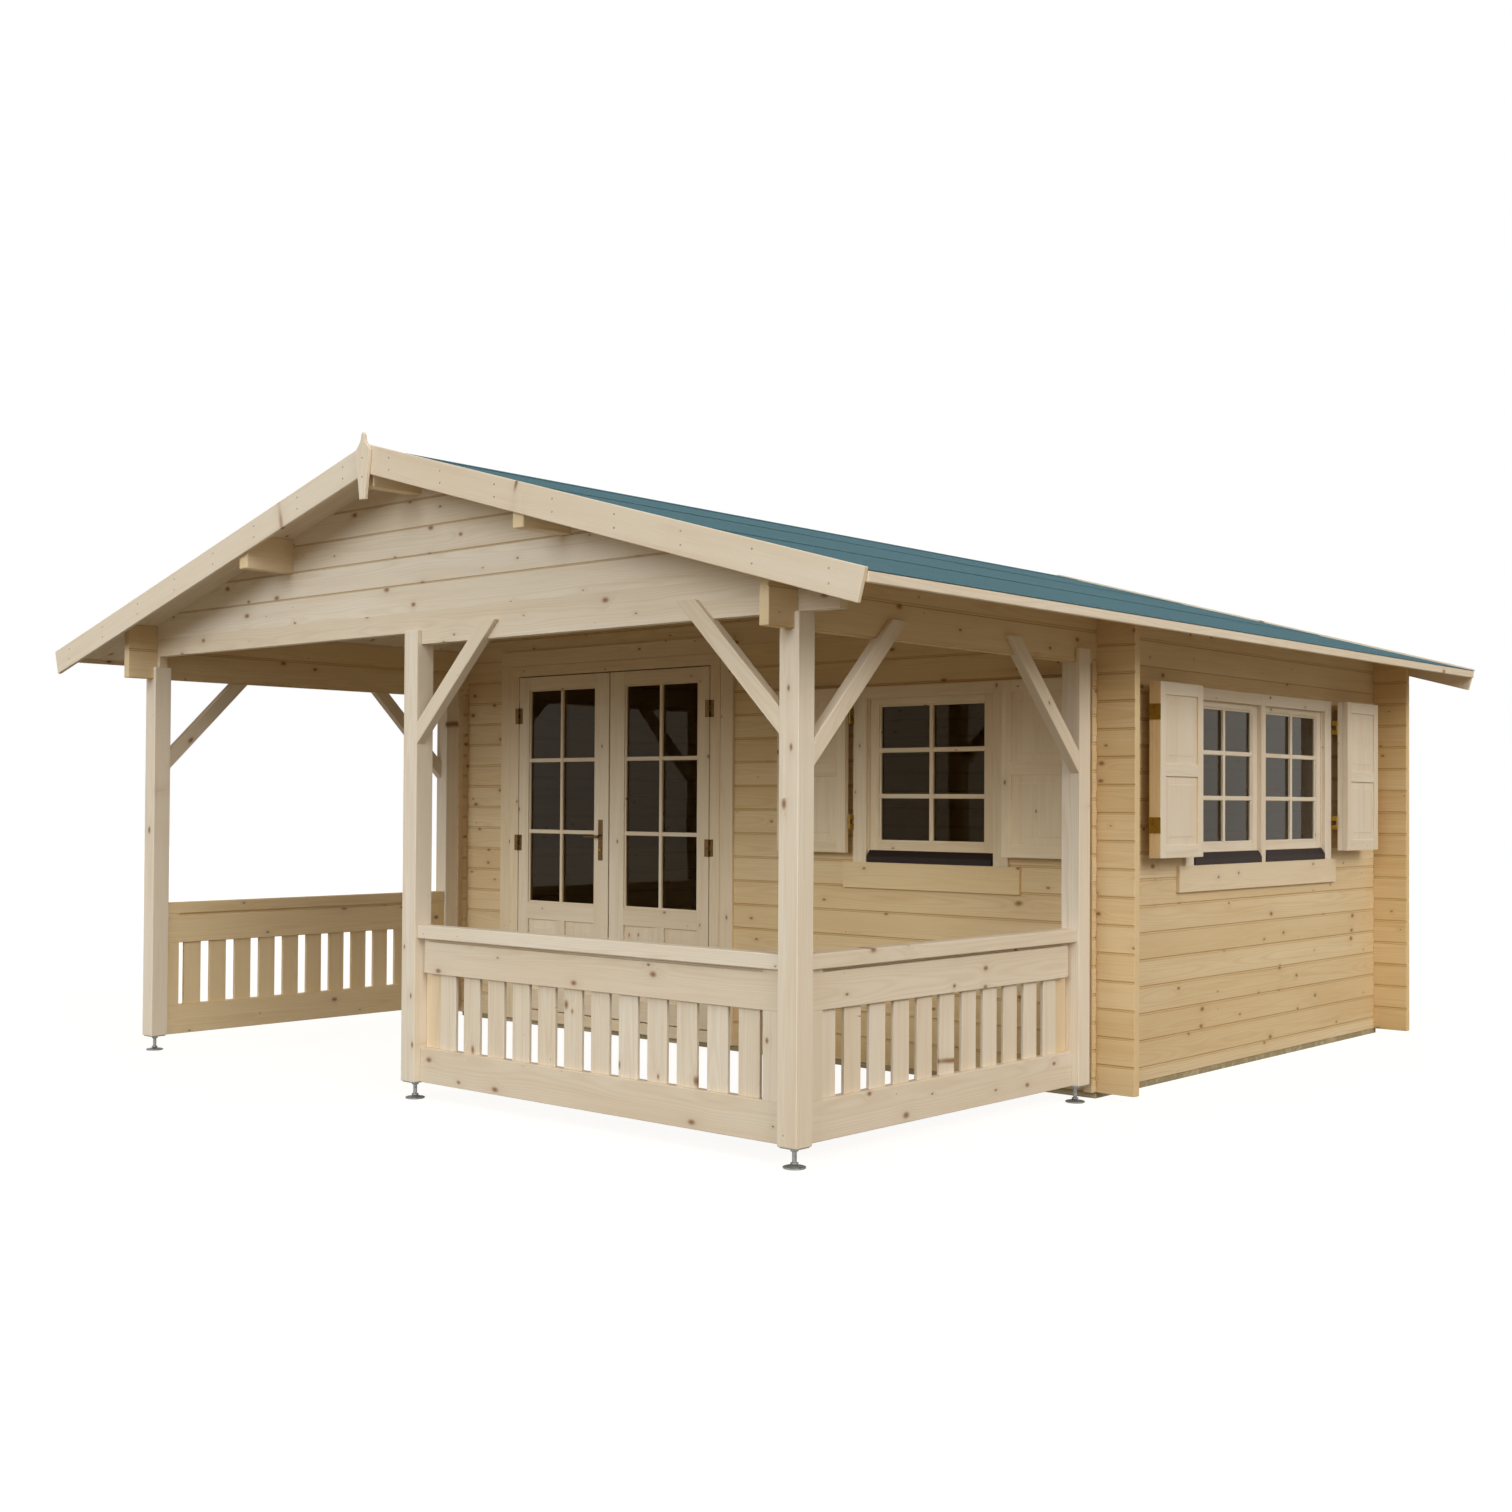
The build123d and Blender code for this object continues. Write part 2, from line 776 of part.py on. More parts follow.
with BuildPart() as gable_finials:
    with BuildSketch(Plane.XZ.offset(-roof_front)) as outline:
        with BuildLine() as half_outline:
            Line((0, finial_top), (finial_tip_width / 2, finial_neck))
            Spline(
                (finial_tip_width / 2, finial_neck),
                (finial_width / 2, finial_level),
                tangents=[(0, -1), (0.7, -1)],
            )
            Line((finial_width / 2, finial_level), (finial_foot_width / 2, finial_top - finial_height))
            Line((finial_foot_width / 2, finial_top - finial_height), (0, finial_top - finial_height))
            Line((0, finial_top - finial_height), (0, finial_top))
        make_face()
        mirror(about=Plane.YZ)
    extrude(outline.sketch, amount=finial_thickness)
write(gable_finials.part, "gable_finials")

# ---------------------------------------------------------------- door and window frames
front_wall_plane = Plane(origin=(0, front_wall_face, 0), x_dir=(1, 0, 0), z_dir=(0, -1, 0))
side_wall_plane = Plane(origin=(half_cabin, 0, 0), x_dir=(0, 1, 0), z_dir=(1, 0, 0))


def block(wall, along, up, out, mode=Mode.ADD):
    """Box between pairs of places along a wall, up it and out from its face."""
    size = (along[1] - along[0], up[1] - up[0], out[1] - out[0])
    middle = (sum(along) / 2, sum(up) / 2, sum(out) / 2)
    with Locations(wall.location * Location(middle)):
        Box(*size, mode=mode)


def around(centre, half):
    """Pair of places at equal distances from a centre."""
    return (centre - half, centre + half)


def ring(wall, along, up, out, hole_along, hole_up):
    """Rectangular frame with a hole through it."""
    block(wall, along, up, out)
    block(wall, hole_along, hole_up, out, mode=Mode.SUBTRACT)


def bars(wall, along, up, outs, across_count, up_count):
    """Glazing bars in front of and behind a pane, for the given numbers of lights."""
    half = bar_width / 2
    for out in outs:
        for n in range(1, across_count):
            place = along[0] + n * (along[1] - along[0]) / across_count
            block(wall, around(place, half), up, out)
        for n in range(1, up_count):
            place = up[0] + n * (up[1] - up[0]) / up_count
            block(wall, along, around(place, half), out)


def pane(wall, along, up, middle, play=0.0):
    """Sheet of glass that reaches into the rebate around an opening."""
    edge = rebate - play
    block(
        wall,
        (along[0] - edge, along[1] + edge),
        (up[0] - edge, up[1] + edge),
        around(middle, glass_thickness / 2 - play),
    )


# Door frame: jambs, head and threshold in one ring, with a stop behind the leaves.
jamb_span = around(door_centre, frame_inner_half)
frame_span = around(door_centre, frame_outer_half)
threshold_top = door_sill_height - leaf_gap
frame_out = (-log_thickness, door_proud)
leaf_out = (door_proud - leaf_thickness, door_proud)
stop_out = (-log_thickness, leaf_out[0] - leaf_gap)

with BuildPart() as door_frame:
    ring(
        front_wall_plane,
        frame_span,
        (bearer_height, frame_head_top),
        frame_out,
        jamb_span,
        (threshold_top, frame_head_bottom),
    )
    for start in (jamb_span[0], jamb_span[1] - door_stop):
        block(
            front_wall_plane,
            (start, start + door_stop),
            (threshold_top, frame_head_bottom),
            stop_out,
        )
    head_stop = (frame_head_bottom - door_stop, frame_head_bottom)
    block(front_wall_plane, jamb_span, head_stop, stop_out)
    block(front_wall_plane, jamb_span, (threshold_top, threshold_top + door_stop), stop_out)
write(door_frame.part, "door_frame")

# Door casing: boards on the wall around the frame.
casing_inner = frame_outer_half + door_casing_joint
casing_inner_top = frame_head_top + door_casing_joint
casing_outer_top = casing_inner_top + door_casing_width

with BuildPart() as door_casing:
    ring(
        front_wall_plane,
        around(door_centre, casing_inner + door_casing_width),
        (bearer_height, casing_outer_top),
        (0, casing_thickness),
        around(door_centre, casing_inner),
        (0, casing_inner_top),
    )
write(door_casing.part, "door_casing")


# ---------------------------------------------------------------- door leaves
glass_top = leaf_top - leaf_top_rail
glass_bottom = glass_top - door_glass_height
panel_top = glass_bottom - leaf_mid_rail
panel_bottom = door_sill_height + leaf_bottom_rail
leaf_middle = sum(leaf_out) / 2
pane_half = glass_thickness / 2
bar_outs = (
    (leaf_middle + pane_half, leaf_middle + pane_half + bar_thickness),
    (leaf_middle - pane_half - bar_thickness, leaf_middle - pane_half),
)


def leaf_places(side):
    """Leaf, glass and panel places along the wall for the left (-1) or right (1) leaf."""
    meeting = door_centre + side * meeting_gap / 2
    hinge_edge = meeting + side * leaf_width
    glass_edges = (meeting + side * meeting_stile, hinge_edge - side * hinge_stile)
    return tuple(sorted((meeting, hinge_edge))), tuple(sorted(glass_edges))


def door_leaf(side):
    """Half of the double door: stiles and rails, glazing bars and two sunk lower panels."""
    leaf, light = leaf_places(side)
    glass_up = (glass_bottom, glass_top)
    panel_up = (panel_bottom, panel_top)
    with BuildPart() as piece:
        block(front_wall_plane, leaf, (door_sill_height, leaf_top), leaf_out)
        block(front_wall_plane, light, glass_up, leaf_out, mode=Mode.SUBTRACT)
        block(front_wall_plane, light, panel_up, leaf_out, mode=Mode.SUBTRACT)
        block(front_wall_plane, light, panel_up, around(leaf_middle, door_panel_thickness / 2))
        block(front_wall_plane, around(sum(light) / 2, leaf_muntin / 2), panel_up, leaf_out)
        bars(front_wall_plane, light, glass_up, bar_outs, 2, 3)
        edge = rebate
        block(
            front_wall_plane,
            (light[0] - edge, light[1] + edge),
            (glass_up[0] - edge, glass_up[1] + edge),
            around(leaf_middle, pane_half),
            mode=Mode.SUBTRACT,
        )
    return piece.part


def door_pane(side):
    """Pane of one leaf, held in the rebate of the leaf."""
    light = leaf_places(side)[1]
    with BuildPart() as piece:
        pane(front_wall_plane, light, (glass_bottom, glass_top), leaf_middle, glass_play)
    return piece.part


left_leaf, right_leaf = door_leaf(-1), door_leaf(1)
left_pane, right_pane = door_pane(-1), door_pane(1)

with BuildPart() as door_leaf_left:
    add(left_leaf)
write(door_leaf_left.part, "door_leaf_left")

with BuildPart() as door_leaf_right:
    add(right_leaf)
write(door_leaf_right.part, "door_leaf_right")

with BuildPart() as door_glass_left:
    add(left_pane)
write(door_glass_left.part, "door_glass_left")

with BuildPart() as door_glass_right:
    add(right_pane)
write(door_glass_right.part, "door_glass_right")

# Door handle: a plate and a lever on both faces of the left leaf.
handle_x = door_centre - meeting_gap / 2 - handle_from_edge
handle_up = around(handle_height, handle_plate_height / 2)
with BuildPart() as door_handle:
    for face, way in ((leaf_out[1], 1), (leaf_out[0], -1)):
        plate_out = sorted((face, face + way * handle_plate_thickness))
        block(
            front_wall_plane,
            around(handle_x, handle_plate_width / 2),
            handle_up,
            plate_out,
        )
        boss_middle = front_wall_face - face - way * handle_boss_length / 2
        with Locations((handle_x, boss_middle, lever_height)):
            Cylinder(handle_boss_radius, handle_boss_length, rotation=(90, 0, 0))
        lever_y = front_wall_face - face - way * (handle_boss_length - lever_radius)
        with Locations((handle_x - lever_length / 2, lever_y, lever_height)):
            Cylinder(lever_radius, lever_length, rotation=(0, 90, 0))
write(door_handle.part, "door_handle")


# ---------------------------------------------------------------- door hinges
def hinge_axis_x(side):
    """Place along the wall of the hinge axis of the left (-1) or right (1) leaf."""
    return door_centre + side * (frame_inner_half - leaf_gap / 2)


hinge_axis_y = front_wall_face - door_proud - hinge_stand_off
hinge_part = hinge_length / 3
plate_out = (door_proud, door_proud + hinge_plate)
plate_clear = hinge_radius + hinge_share_gap


def knuckle(x, y, low, high, radius):
    """Upright barrel with narrow flats between two heights."""
    with BuildSketch(Plane.XY.offset(low)) as section:
        with Locations((x, y)):
            RegularPolygon(radius, barrel_sides)
    extrude(section.sketch, amount=high - low)


def moving_hinges(side):
    """Halves of the hinges on one leaf: a plate with the middle knuckle."""
    axis = hinge_axis_x(side)
    with BuildPart() as piece:
        for height in hinge_heights:
            low = door_sill_height + height - hinge_length / 2
            middle = (low + hinge_part + hinge_share_gap, low + 2 * hinge_part - hinge_share_gap)
            knuckle(axis, hinge_axis_y, *middle, hinge_radius)
            tongue = sorted((axis, axis - side * plate_clear))
            block(front_wall_plane, tongue, middle, plate_out)
            plate = sorted((axis - side * plate_clear, axis - side * hinge_plate_width))
            block(front_wall_plane, plate, (low, low + hinge_length), plate_out)
    return piece.part


def add_fixed_hinges(side):
    """Halves of the door hinges on the frame: a plate with the outer knuckles."""
    axis = hinge_axis_x(side)
    for height in hinge_heights:
        low = door_sill_height + height - hinge_length / 2
        high = low + hinge_length
        for part in ((low, low + hinge_part), (high - hinge_part, high)):
            knuckle(axis, hinge_axis_y, *part, hinge_radius)
            tongue = sorted((axis, axis + side * plate_clear))
            block(front_wall_plane, tongue, part, plate_out)
        plate = sorted((axis + side * plate_clear, axis + side * hinge_plate_width))
        block(front_wall_plane, plate, (low, high), plate_out)


left_hinges, right_hinges = moving_hinges(-1), moving_hinges(1)

with BuildPart() as door_hinges_left:
    add(left_hinges)
write(door_hinges_left.part, "door_hinges_left")

with BuildPart() as door_hinges_right:
    add(right_hinges)
write(door_hinges_right.part, "door_hinges_right")

with BuildPart() as door_frame_hinges:
    add_fixed_hinges(-1)
    add_fixed_hinges(1)
write(door_frame_hinges.part, "door_frame_hinges")

# ---------------------------------------------------------------- windows
frame_depth = (-log_thickness, 0)
sash_out = (-sash_setback - sash_thickness, -sash_setback)
sash_middle = sum(sash_out) / 2
frame_hole_up = (sash_bottom, sash_top + sash_play)
sash_up = (sash_bottom, sash_top)
light_up = (sash_glass_bottom, sash_glass_bottom + sash_glass_height)
light_half = sash_glass_width / 2
side_sash_shift = window_mullion / 2 + sash_half
side_sashes_at = [side_window_centre + side * side_sash_shift for side in (-1, 1)]

# Window frames set in the openings of the walls.
with BuildPart() as front_window_frame:
    ring(
        front_wall_plane,
        around(front_window_centre, frame_half + window_jamb),
        (window_bottom, window_top),
        frame_depth,
        around(front_window_centre, frame_half),
        frame_hole_up,
    )
write(front_window_frame.part, "front_window_frame")

with BuildPart() as side_window_frame:
    ring(
        side_wall_plane,
        around(side_window_centre, double_frame_half + window_jamb),
        (window_bottom, window_top),
        frame_depth,
        around(side_window_centre, double_frame_half),
        frame_hole_up,
    )
    mullion_half = window_mullion / 2 - sash_play
    block(side_wall_plane, around(side_window_centre, mullion_half), frame_hole_up, frame_depth)
write(side_window_frame.part, "side_window_frame")

sash_bar_outs = (
    (sash_middle + pane_half, sash_middle + pane_half + bar_thickness),
    (sash_middle - pane_half - bar_thickness, sash_middle - pane_half),
)


def add_sash(wall, centre):
    """Sash with six lights."""
    ring(
        wall,
        around(centre, sash_half),
        sash_up,
        sash_out,
        around(centre, light_half),
        light_up,
    )
    bars(wall, around(centre, light_half), light_up, sash_bar_outs, 2, 3)
    block(
        wall,
        around(centre, light_half + rebate),
        (light_up[0] - rebate, light_up[1] + rebate),
        around(sash_middle, pane_half),
        mode=Mode.SUBTRACT,
    )


with BuildPart() as front_window_sash:
    add_sash(front_wall_plane, front_window_centre)
write(front_window_sash.part, "front_window_sash")

with BuildPart() as side_window_sashes:
    for centre in side_sashes_at:
        add_sash(side_wall_plane, centre)
write(side_window_sashes.part, "side_window_sashes")

with BuildPart() as window_glass:
    pane(
        front_wall_plane,
        around(front_window_centre, light_half),
        light_up,
        sash_middle,
        glass_play,
    )
    for centre in side_sashes_at:
        pane(side_wall_plane, around(centre, light_half), light_up, sash_middle, glass_play)
write(window_glass.part, "window_glass")

# Casings: boards on the wall beside and over each window, down to the apron, and a board
# over the mullion of the double window.
window_places = (
    (front_wall_plane, front_window_centre, frame_half),
    (side_wall_plane, side_window_centre, double_frame_half),
)
apron_top = window_bottom
head_casing_top = sash_top - window_head_lap + window_head_casing
with BuildPart() as window_casings:
    for wall, centre, inner in window_places:
        half = inner + window_casing_reveal
        ring(
            wall,
            around(centre, half + window_casing_width),
            (apron_top, head_casing_top),
            (0, casing_thickness),
            around(centre, half),
            (apron_top, head_casing_top - window_head_casing),
        )
    block(
        side_wall_plane,
        around(side_window_centre, mullion_half),
        (apron_top, head_casing_top),
        (0, casing_thickness),
    )
write(window_casings.part, "window_casings")

# Aprons: one wide board under each window, longer than the casing.
with BuildPart() as window_aprons:
    for wall, centre, inner in window_places:
        half = inner + window_casing_reveal + window_casing_width + apron_extra
        block(wall, around(centre, half), (apron_top - apron_height, apron_top), (0, apron_thickness))
write(window_aprons.part, "window_aprons")

# Sills: sloping strips between the casings, one under each sash.
sill_places = [(front_wall_plane, front_window_centre)]
sill_places += [(side_wall_plane, centre) for centre in side_sashes_at]
with BuildPart() as window_sills:
    for wall, centre in sill_places:
        along = wall.x_dir
        section_plane = Plane(
            origin=wall.origin + along * (centre - sash_half),
            x_dir=wall.z_dir,
            z_dir=-along,
        )
        with BuildSketch(section_plane) as section:
            with BuildLine():
                Polyline(
                    (0, apron_top),
                    (sill_proud, apron_top),
                    (sill_proud, apron_top + sill_front_height),
                    (0, sash_bottom - sill_play),
                    close=True,
                )
            make_face()
        extrude(section.sketch, amount=-2 * sash_half)
write(window_sills.part, "window_sills")


# ---------------------------------------------------------------- shutters
shutter_up = (shutter_bottom, shutter_bottom + shutter_height)
shutter_out = (shutter_proud, shutter_proud + shutter_thickness)
fold_out = (shutter_out[1] + fold_joint, shutter_out[1] + fold_joint + shutter_thickness)


def add_shutter(wall, along, out):
    """Framed leaf with two sunk panels."""
    middle_up = sum(shutter_up) / 2
    low_panel = (shutter_up[0] + shutter_rail, middle_up - shutter_rail / 2)
    high_panel = (middle_up + shutter_rail / 2, shutter_up[1] - shutter_rail)
    hole = (along[0] + shutter_stile, along[1] - shutter_stile)
    block(wall, along, shutter_up, out)
    for panel in (low_panel, high_panel):
        block(wall, hole, panel, out, mode=Mode.SUBTRACT)
        block(wall, hole, panel, around(sum(out) / 2, shutter_panel_thickness / 2))


front_casing_half = frame_half + window_casing_reveal + window_casing_width
side_casing_half = double_frame_half + window_casing_reveal + window_casing_width
front_leaf_start = front_casing_half + shutter_gap
side_leaf_start = side_casing_half + shutter_gap
pivot_half = front_leaf_start - shutter_hinge_radius - shutter_hinge_joint
front_leaf_width = 2 * pivot_half - front_leaf_start - shutter_leaf_play


def leaf_beside(centre, side, start, width):
    """Places along the wall of a leaf on one side of a window."""
    return sorted((centre + side * start, centre + side * (start + width)))


# Front window: the left leaf swings, the right one stands fast behind the porch post.
with BuildPart() as front_shutter_left:
    along = leaf_beside(front_window_centre, -1, front_leaf_start, front_leaf_width)
    add_shutter(front_wall_plane, along, shutter_out)
write(front_shutter_left.part, "front_shutter_left")

with BuildPart() as front_shutter_right:
    along = leaf_beside(front_window_centre, 1, front_leaf_start, front_leaf_width)
    add_shutter(front_wall_plane, along, shutter_out)
write(front_shutter_right.part, "front_shutter_right")

# Side window: folding shutters, two leaves on each side of the window.
with BuildPart() as side_shutter_front:
    along = leaf_beside(side_window_centre, -1, side_leaf_start, side_shutter_width)
    for out in (shutter_out, fold_out):
        add_shutter(side_wall_plane, along, out)
write(side_shutter_front.part, "side_shutter_front")

with BuildPart() as side_shutter_back:
    along = leaf_beside(side_window_centre, 1, side_leaf_start, side_shutter_width)
    for out in (shutter_out, fold_out):
        add_shutter(side_wall_plane, along, out)
write(side_shutter_back.part, "side_shutter_back")


def shutter_pivot(wall, centre, side, half):
    """Point of a shutter's hinge axis at ground level."""
    return wall.from_local_coords((centre + side * half, 0, shutter_proud))


def add_shutter_straps(wall, centre, side, half):
    """Moving halves of a shutter's hinges: the middle knuckle and a strap on the leaf."""
    for height in shutter_hinge_heights:
        low = shutter_bottom + height - shutter_hinge_length / 2
        part = shutter_hinge_length / 3
        middle = (low + part + shutter_hinge_joint, low + 2 * part - shutter_hinge_joint)
        pivot = shutter_pivot(wall, centre, side, half)
        knuckle(pivot.X, pivot.Y, *middle, shutter_hinge_radius)
        along = sorted((centre + side * half, centre + side * (half + strap_length)))
        block(wall, along, middle, (shutter_proud - strap_thickness, shutter_proud))


def add_shutter_brackets(wall, centre, side, half):
    """Fixed halves of a shutter's hinges: outer knuckles on brackets from the casing."""
    for height in shutter_hinge_heights:
        low = shutter_bottom + height - shutter_hinge_length / 2
        high = low + shutter_hinge_length
        part = shutter_hinge_length / 3
        pivot = shutter_pivot(wall, centre, side, half)
        for ends in ((low, low + part), (high - part, high)):
            knuckle(pivot.X, pivot.Y, *ends, shutter_hinge_radius)
            along = around(centre + side * half, bracket_thickness / 2)
            block(wall, along, ends, (casing_thickness, shutter_proud))


with BuildPart() as shutter_hinges_left:
    add_shutter_straps(front_wall_plane, front_window_centre, -1, pivot_half)
write(shutter_hinges_left.part, "shutter_hinges_left")

side_pivot_half = side_leaf_start - shutter_hinge_radius - shutter_hinge_joint
with BuildPart() as fixed_shutter_hinges:
    for side in (-1, 1):
        add_shutter_brackets(front_wall_plane, front_window_centre, side, pivot_half)
        add_shutter_brackets(side_wall_plane, side_window_centre, side, side_pivot_half)
        add_shutter_straps(side_wall_plane, side_window_centre, side, side_pivot_half)
    add_shutter_straps(front_wall_plane, front_window_centre, 1, pivot_half)
    # Butt hinges on the folding edges, opened flat across both leaves.
    for side in (-1, 1):
        fold = side_window_centre + side * (side_leaf_start + side_shutter_width)
        along = sorted((fold, fold + side * fold_plate_thickness))
        for height in shutter_hinge_heights:
            up = around(shutter_bottom + height, shutter_hinge_length / 2)
            block(side_wall_plane, along, up, (shutter_out[0], fold_out[1]))
write(fixed_shutter_hinges.part, "fixed_shutter_hinges")
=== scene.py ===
"""Looks of a log cabin with a covered front porch, laid out as an add-on.

X runs across the front, Y runs from the porch to the back wall and Z is up, in metres.
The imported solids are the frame. Logs, posts and trims are dressed copies of them, with eased
edges and a grain frame in each piece of timber. Joinery, railings, roof and floor are built
board by board, and the felt, feet and door handle part by part.
"""
import math
import random
from itertools import product

import bmesh
import bpy
from bpy.props import FloatProperty, FloatVectorProperty, PointerProperty
from mathutils import Matrix, Vector


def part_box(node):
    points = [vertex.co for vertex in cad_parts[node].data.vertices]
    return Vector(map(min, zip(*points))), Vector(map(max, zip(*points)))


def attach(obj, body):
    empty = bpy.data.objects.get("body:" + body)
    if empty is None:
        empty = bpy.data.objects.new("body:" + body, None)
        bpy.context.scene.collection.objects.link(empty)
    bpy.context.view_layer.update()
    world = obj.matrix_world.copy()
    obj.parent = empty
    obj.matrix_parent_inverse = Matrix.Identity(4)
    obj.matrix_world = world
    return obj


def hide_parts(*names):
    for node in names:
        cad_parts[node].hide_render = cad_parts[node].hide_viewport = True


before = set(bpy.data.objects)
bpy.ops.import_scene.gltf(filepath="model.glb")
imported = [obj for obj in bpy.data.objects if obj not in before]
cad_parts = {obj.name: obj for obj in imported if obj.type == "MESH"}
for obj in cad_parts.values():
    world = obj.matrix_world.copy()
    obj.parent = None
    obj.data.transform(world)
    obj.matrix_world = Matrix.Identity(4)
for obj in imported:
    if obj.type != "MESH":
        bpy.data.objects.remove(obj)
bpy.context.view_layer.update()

bl_info = {
    "name": "Log cabin looks",
    "version": (1, 0, 0),
    "blender": (4, 5, 0),
    "location": "3D View > Sidebar > Cabin",
    "description": "Dresses the solids of a log cabin with timber, felt, glass and fittings",
    "category": "Object",
}

WELD = 2e-5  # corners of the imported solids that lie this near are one
SHARP = 0.35  # angle between two faces from which their edge is eased
RIDGE_JOINT = 0.001  # between the roof boards of both slopes
ROOF_BOARD_THICK = 0.019
FELT_THICK = 0.0014
MULLION_HALF = 0.024  # half the width between the two side windows
CASING_SIDE, CASING_HEAD = 0.080, 0.058  # widths of the boards round a window
PORCH_PAINTED_SHADE = 0.5  # painted shade: how much darker and warmer the joinery under the porch roof is painted, standing in for its shade


# ---------------------------------------------------------------- properties
def paint(*shade):
    """Linear colour of a display colour given from 0 to 255."""
    parts = [value / 255 for value in shade]
    return tuple(p / 12.92 if p <= 0.04045 else ((p + 0.055) / 1.055) ** 2.4 for p in parts)


def number(name, description, default, **settings):
    """Property for a plain number."""
    return FloatProperty(name=name, description=description, default=default, **settings)


def length(name, description, default):
    """Property for a length in metres."""
    return number(name, description, default, min=0, subtype="DISTANCE", unit="LENGTH")


def angle(name, description, degrees):
    """Property for an angle."""
    return number(name, description, math.radians(degrees), subtype="ANGLE")


def colour(name, description, *shade):
    """Property for a colour."""
    return FloatVectorProperty(
        name=name, description=description, default=paint(*shade), size=3, min=0, max=1, subtype="COLOR"
    )


class CabinColours(bpy.types.PropertyGroup):
    """Colours of the timber, felt and fittings."""

    log_pale: colour("Log sapwood", "Pale wood of the wall logs", 234, 214, 178)
    log_warm: colour("Log heartwood", "Warmer wood of the wall logs", 220, 192, 146)
    porch_pale: colour("Porch sapwood", "Pale wood of posts and railings", 240, 230, 214)
    porch_warm: colour("Porch heartwood", "Warmer wood of posts and railings", 228, 212, 188)
    batten: colour("Treated batten", "Treated bearers", 178, 162, 122)
    knot: colour("Knot", "Heart of a knot", 140, 96, 58)
    end_grain: colour("End grain", "Sawn end of a log", 232, 212, 176)
    felt: colour("Felt", "Mineral roofing felt", 61, 106, 117)
    felt_dark: colour("Felt shade", "Darker grains of the felt", 41, 77, 89)
    # Painted shade: the brown tint darkens the room seen through the panes
    glass: colour("Glass", "Tint of the panes", 152, 136, 102)
    brass: colour("Brass", "Hinges of the shutters", 154, 126, 54)
    aged_brass: colour("Aged brass", "Handle and hinges of the doors", 108, 82, 48)
    zinc: colour("Zinc", "Adjustable feet", 152, 152, 148)
    sill: colour("Sill", "Stained sills under the windows", 34, 24, 20)


class CabinSizes(bpy.types.PropertyGroup):
    """Sizes of the timber and its details."""

    log_height: length("Log height", "Height from one log joint to the next", 0.122)
    wall_base: length("Wall base", "Top of the bearers, where the logs start", 0.028)
    ease: length("Eased edge", "Width of the eased edge of a log or post", 0.0025)
    thin_ease: length("Eased edge of joinery", "Width of the eased edge of a thin board", 0.0015)
    roof_board: length("Roof board", "Cover width of one roof board", 0.0905)
    floor_board: length("Floor board", "Cover width of one floor board", 0.096)
    felt_course: length("Felt course", "Cover width of one strip of felt", 0.93)
    felt_lap: length("Felt lap", "Overlap of one strip on the next", 0.08)
    nail_spacing: length("Nail spacing", "Distance between the clout nails of the felt", 0.1)


class CabinStage(bpy.types.PropertyGroup):
    """Camera and light."""

    camera_at: FloatVectorProperty(
        name="Camera place", description="Place of the camera", default=(6.1228, -7.2912, 1.2888),
        size=3, subtype="TRANSLATION",
    )
    camera_turn: angle("Camera turn", "Turn of the camera to the left of straight ahead", 41.80)
    camera_tilt: angle("Camera tilt", "Rise of the camera's view above level", 0.98)
    camera_roll: angle("Camera roll", "Roll of the camera about its view", 0.34)
    focal_length: number(
        "Focal length", "Lens of the camera on a 36 mm wide sensor", 42.13, subtype="DISTANCE_CAMERA"
    )
    shift_x: number("Shift across", "Lens shift across", 0.0166)
    shift_y: number("Shift up", "Lens shift up", 0.0101)
    floor_radius: length("Floor radius", "Radius of the pale floor", 40.0)
    sky: number("Sky", "Strength of the soft light overhead", 0.76)
    horizon: number("Horizon", "Strength of the soft light from the level", 0.33)
    front: number("Front", "Strength of the broad light in front", 1.25)
    side: number("Side", "Strength of the broad light on the right", 1.30)


# ---------------------------------------------------------------- finishes
def sum_node(operation):
    """Method that joins a wire with a number or another wire."""
    return lambda wire, other: wire.shader.math(operation, wire, other)


class Wire:
    """Output of a shader node, which takes plain arithmetic."""

    def __init__(self, shader, socket):
        self.shader, self.socket = shader, socket

    __add__, __sub__, __mul__ = sum_node("ADD"), sum_node("SUBTRACT"), sum_node("MULTIPLY")
    __truediv__, __pow__ = sum_node("DIVIDE"), sum_node("POWER")

    def __rsub__(self, other):
        return self.shader.math("SUBTRACT", other, self)


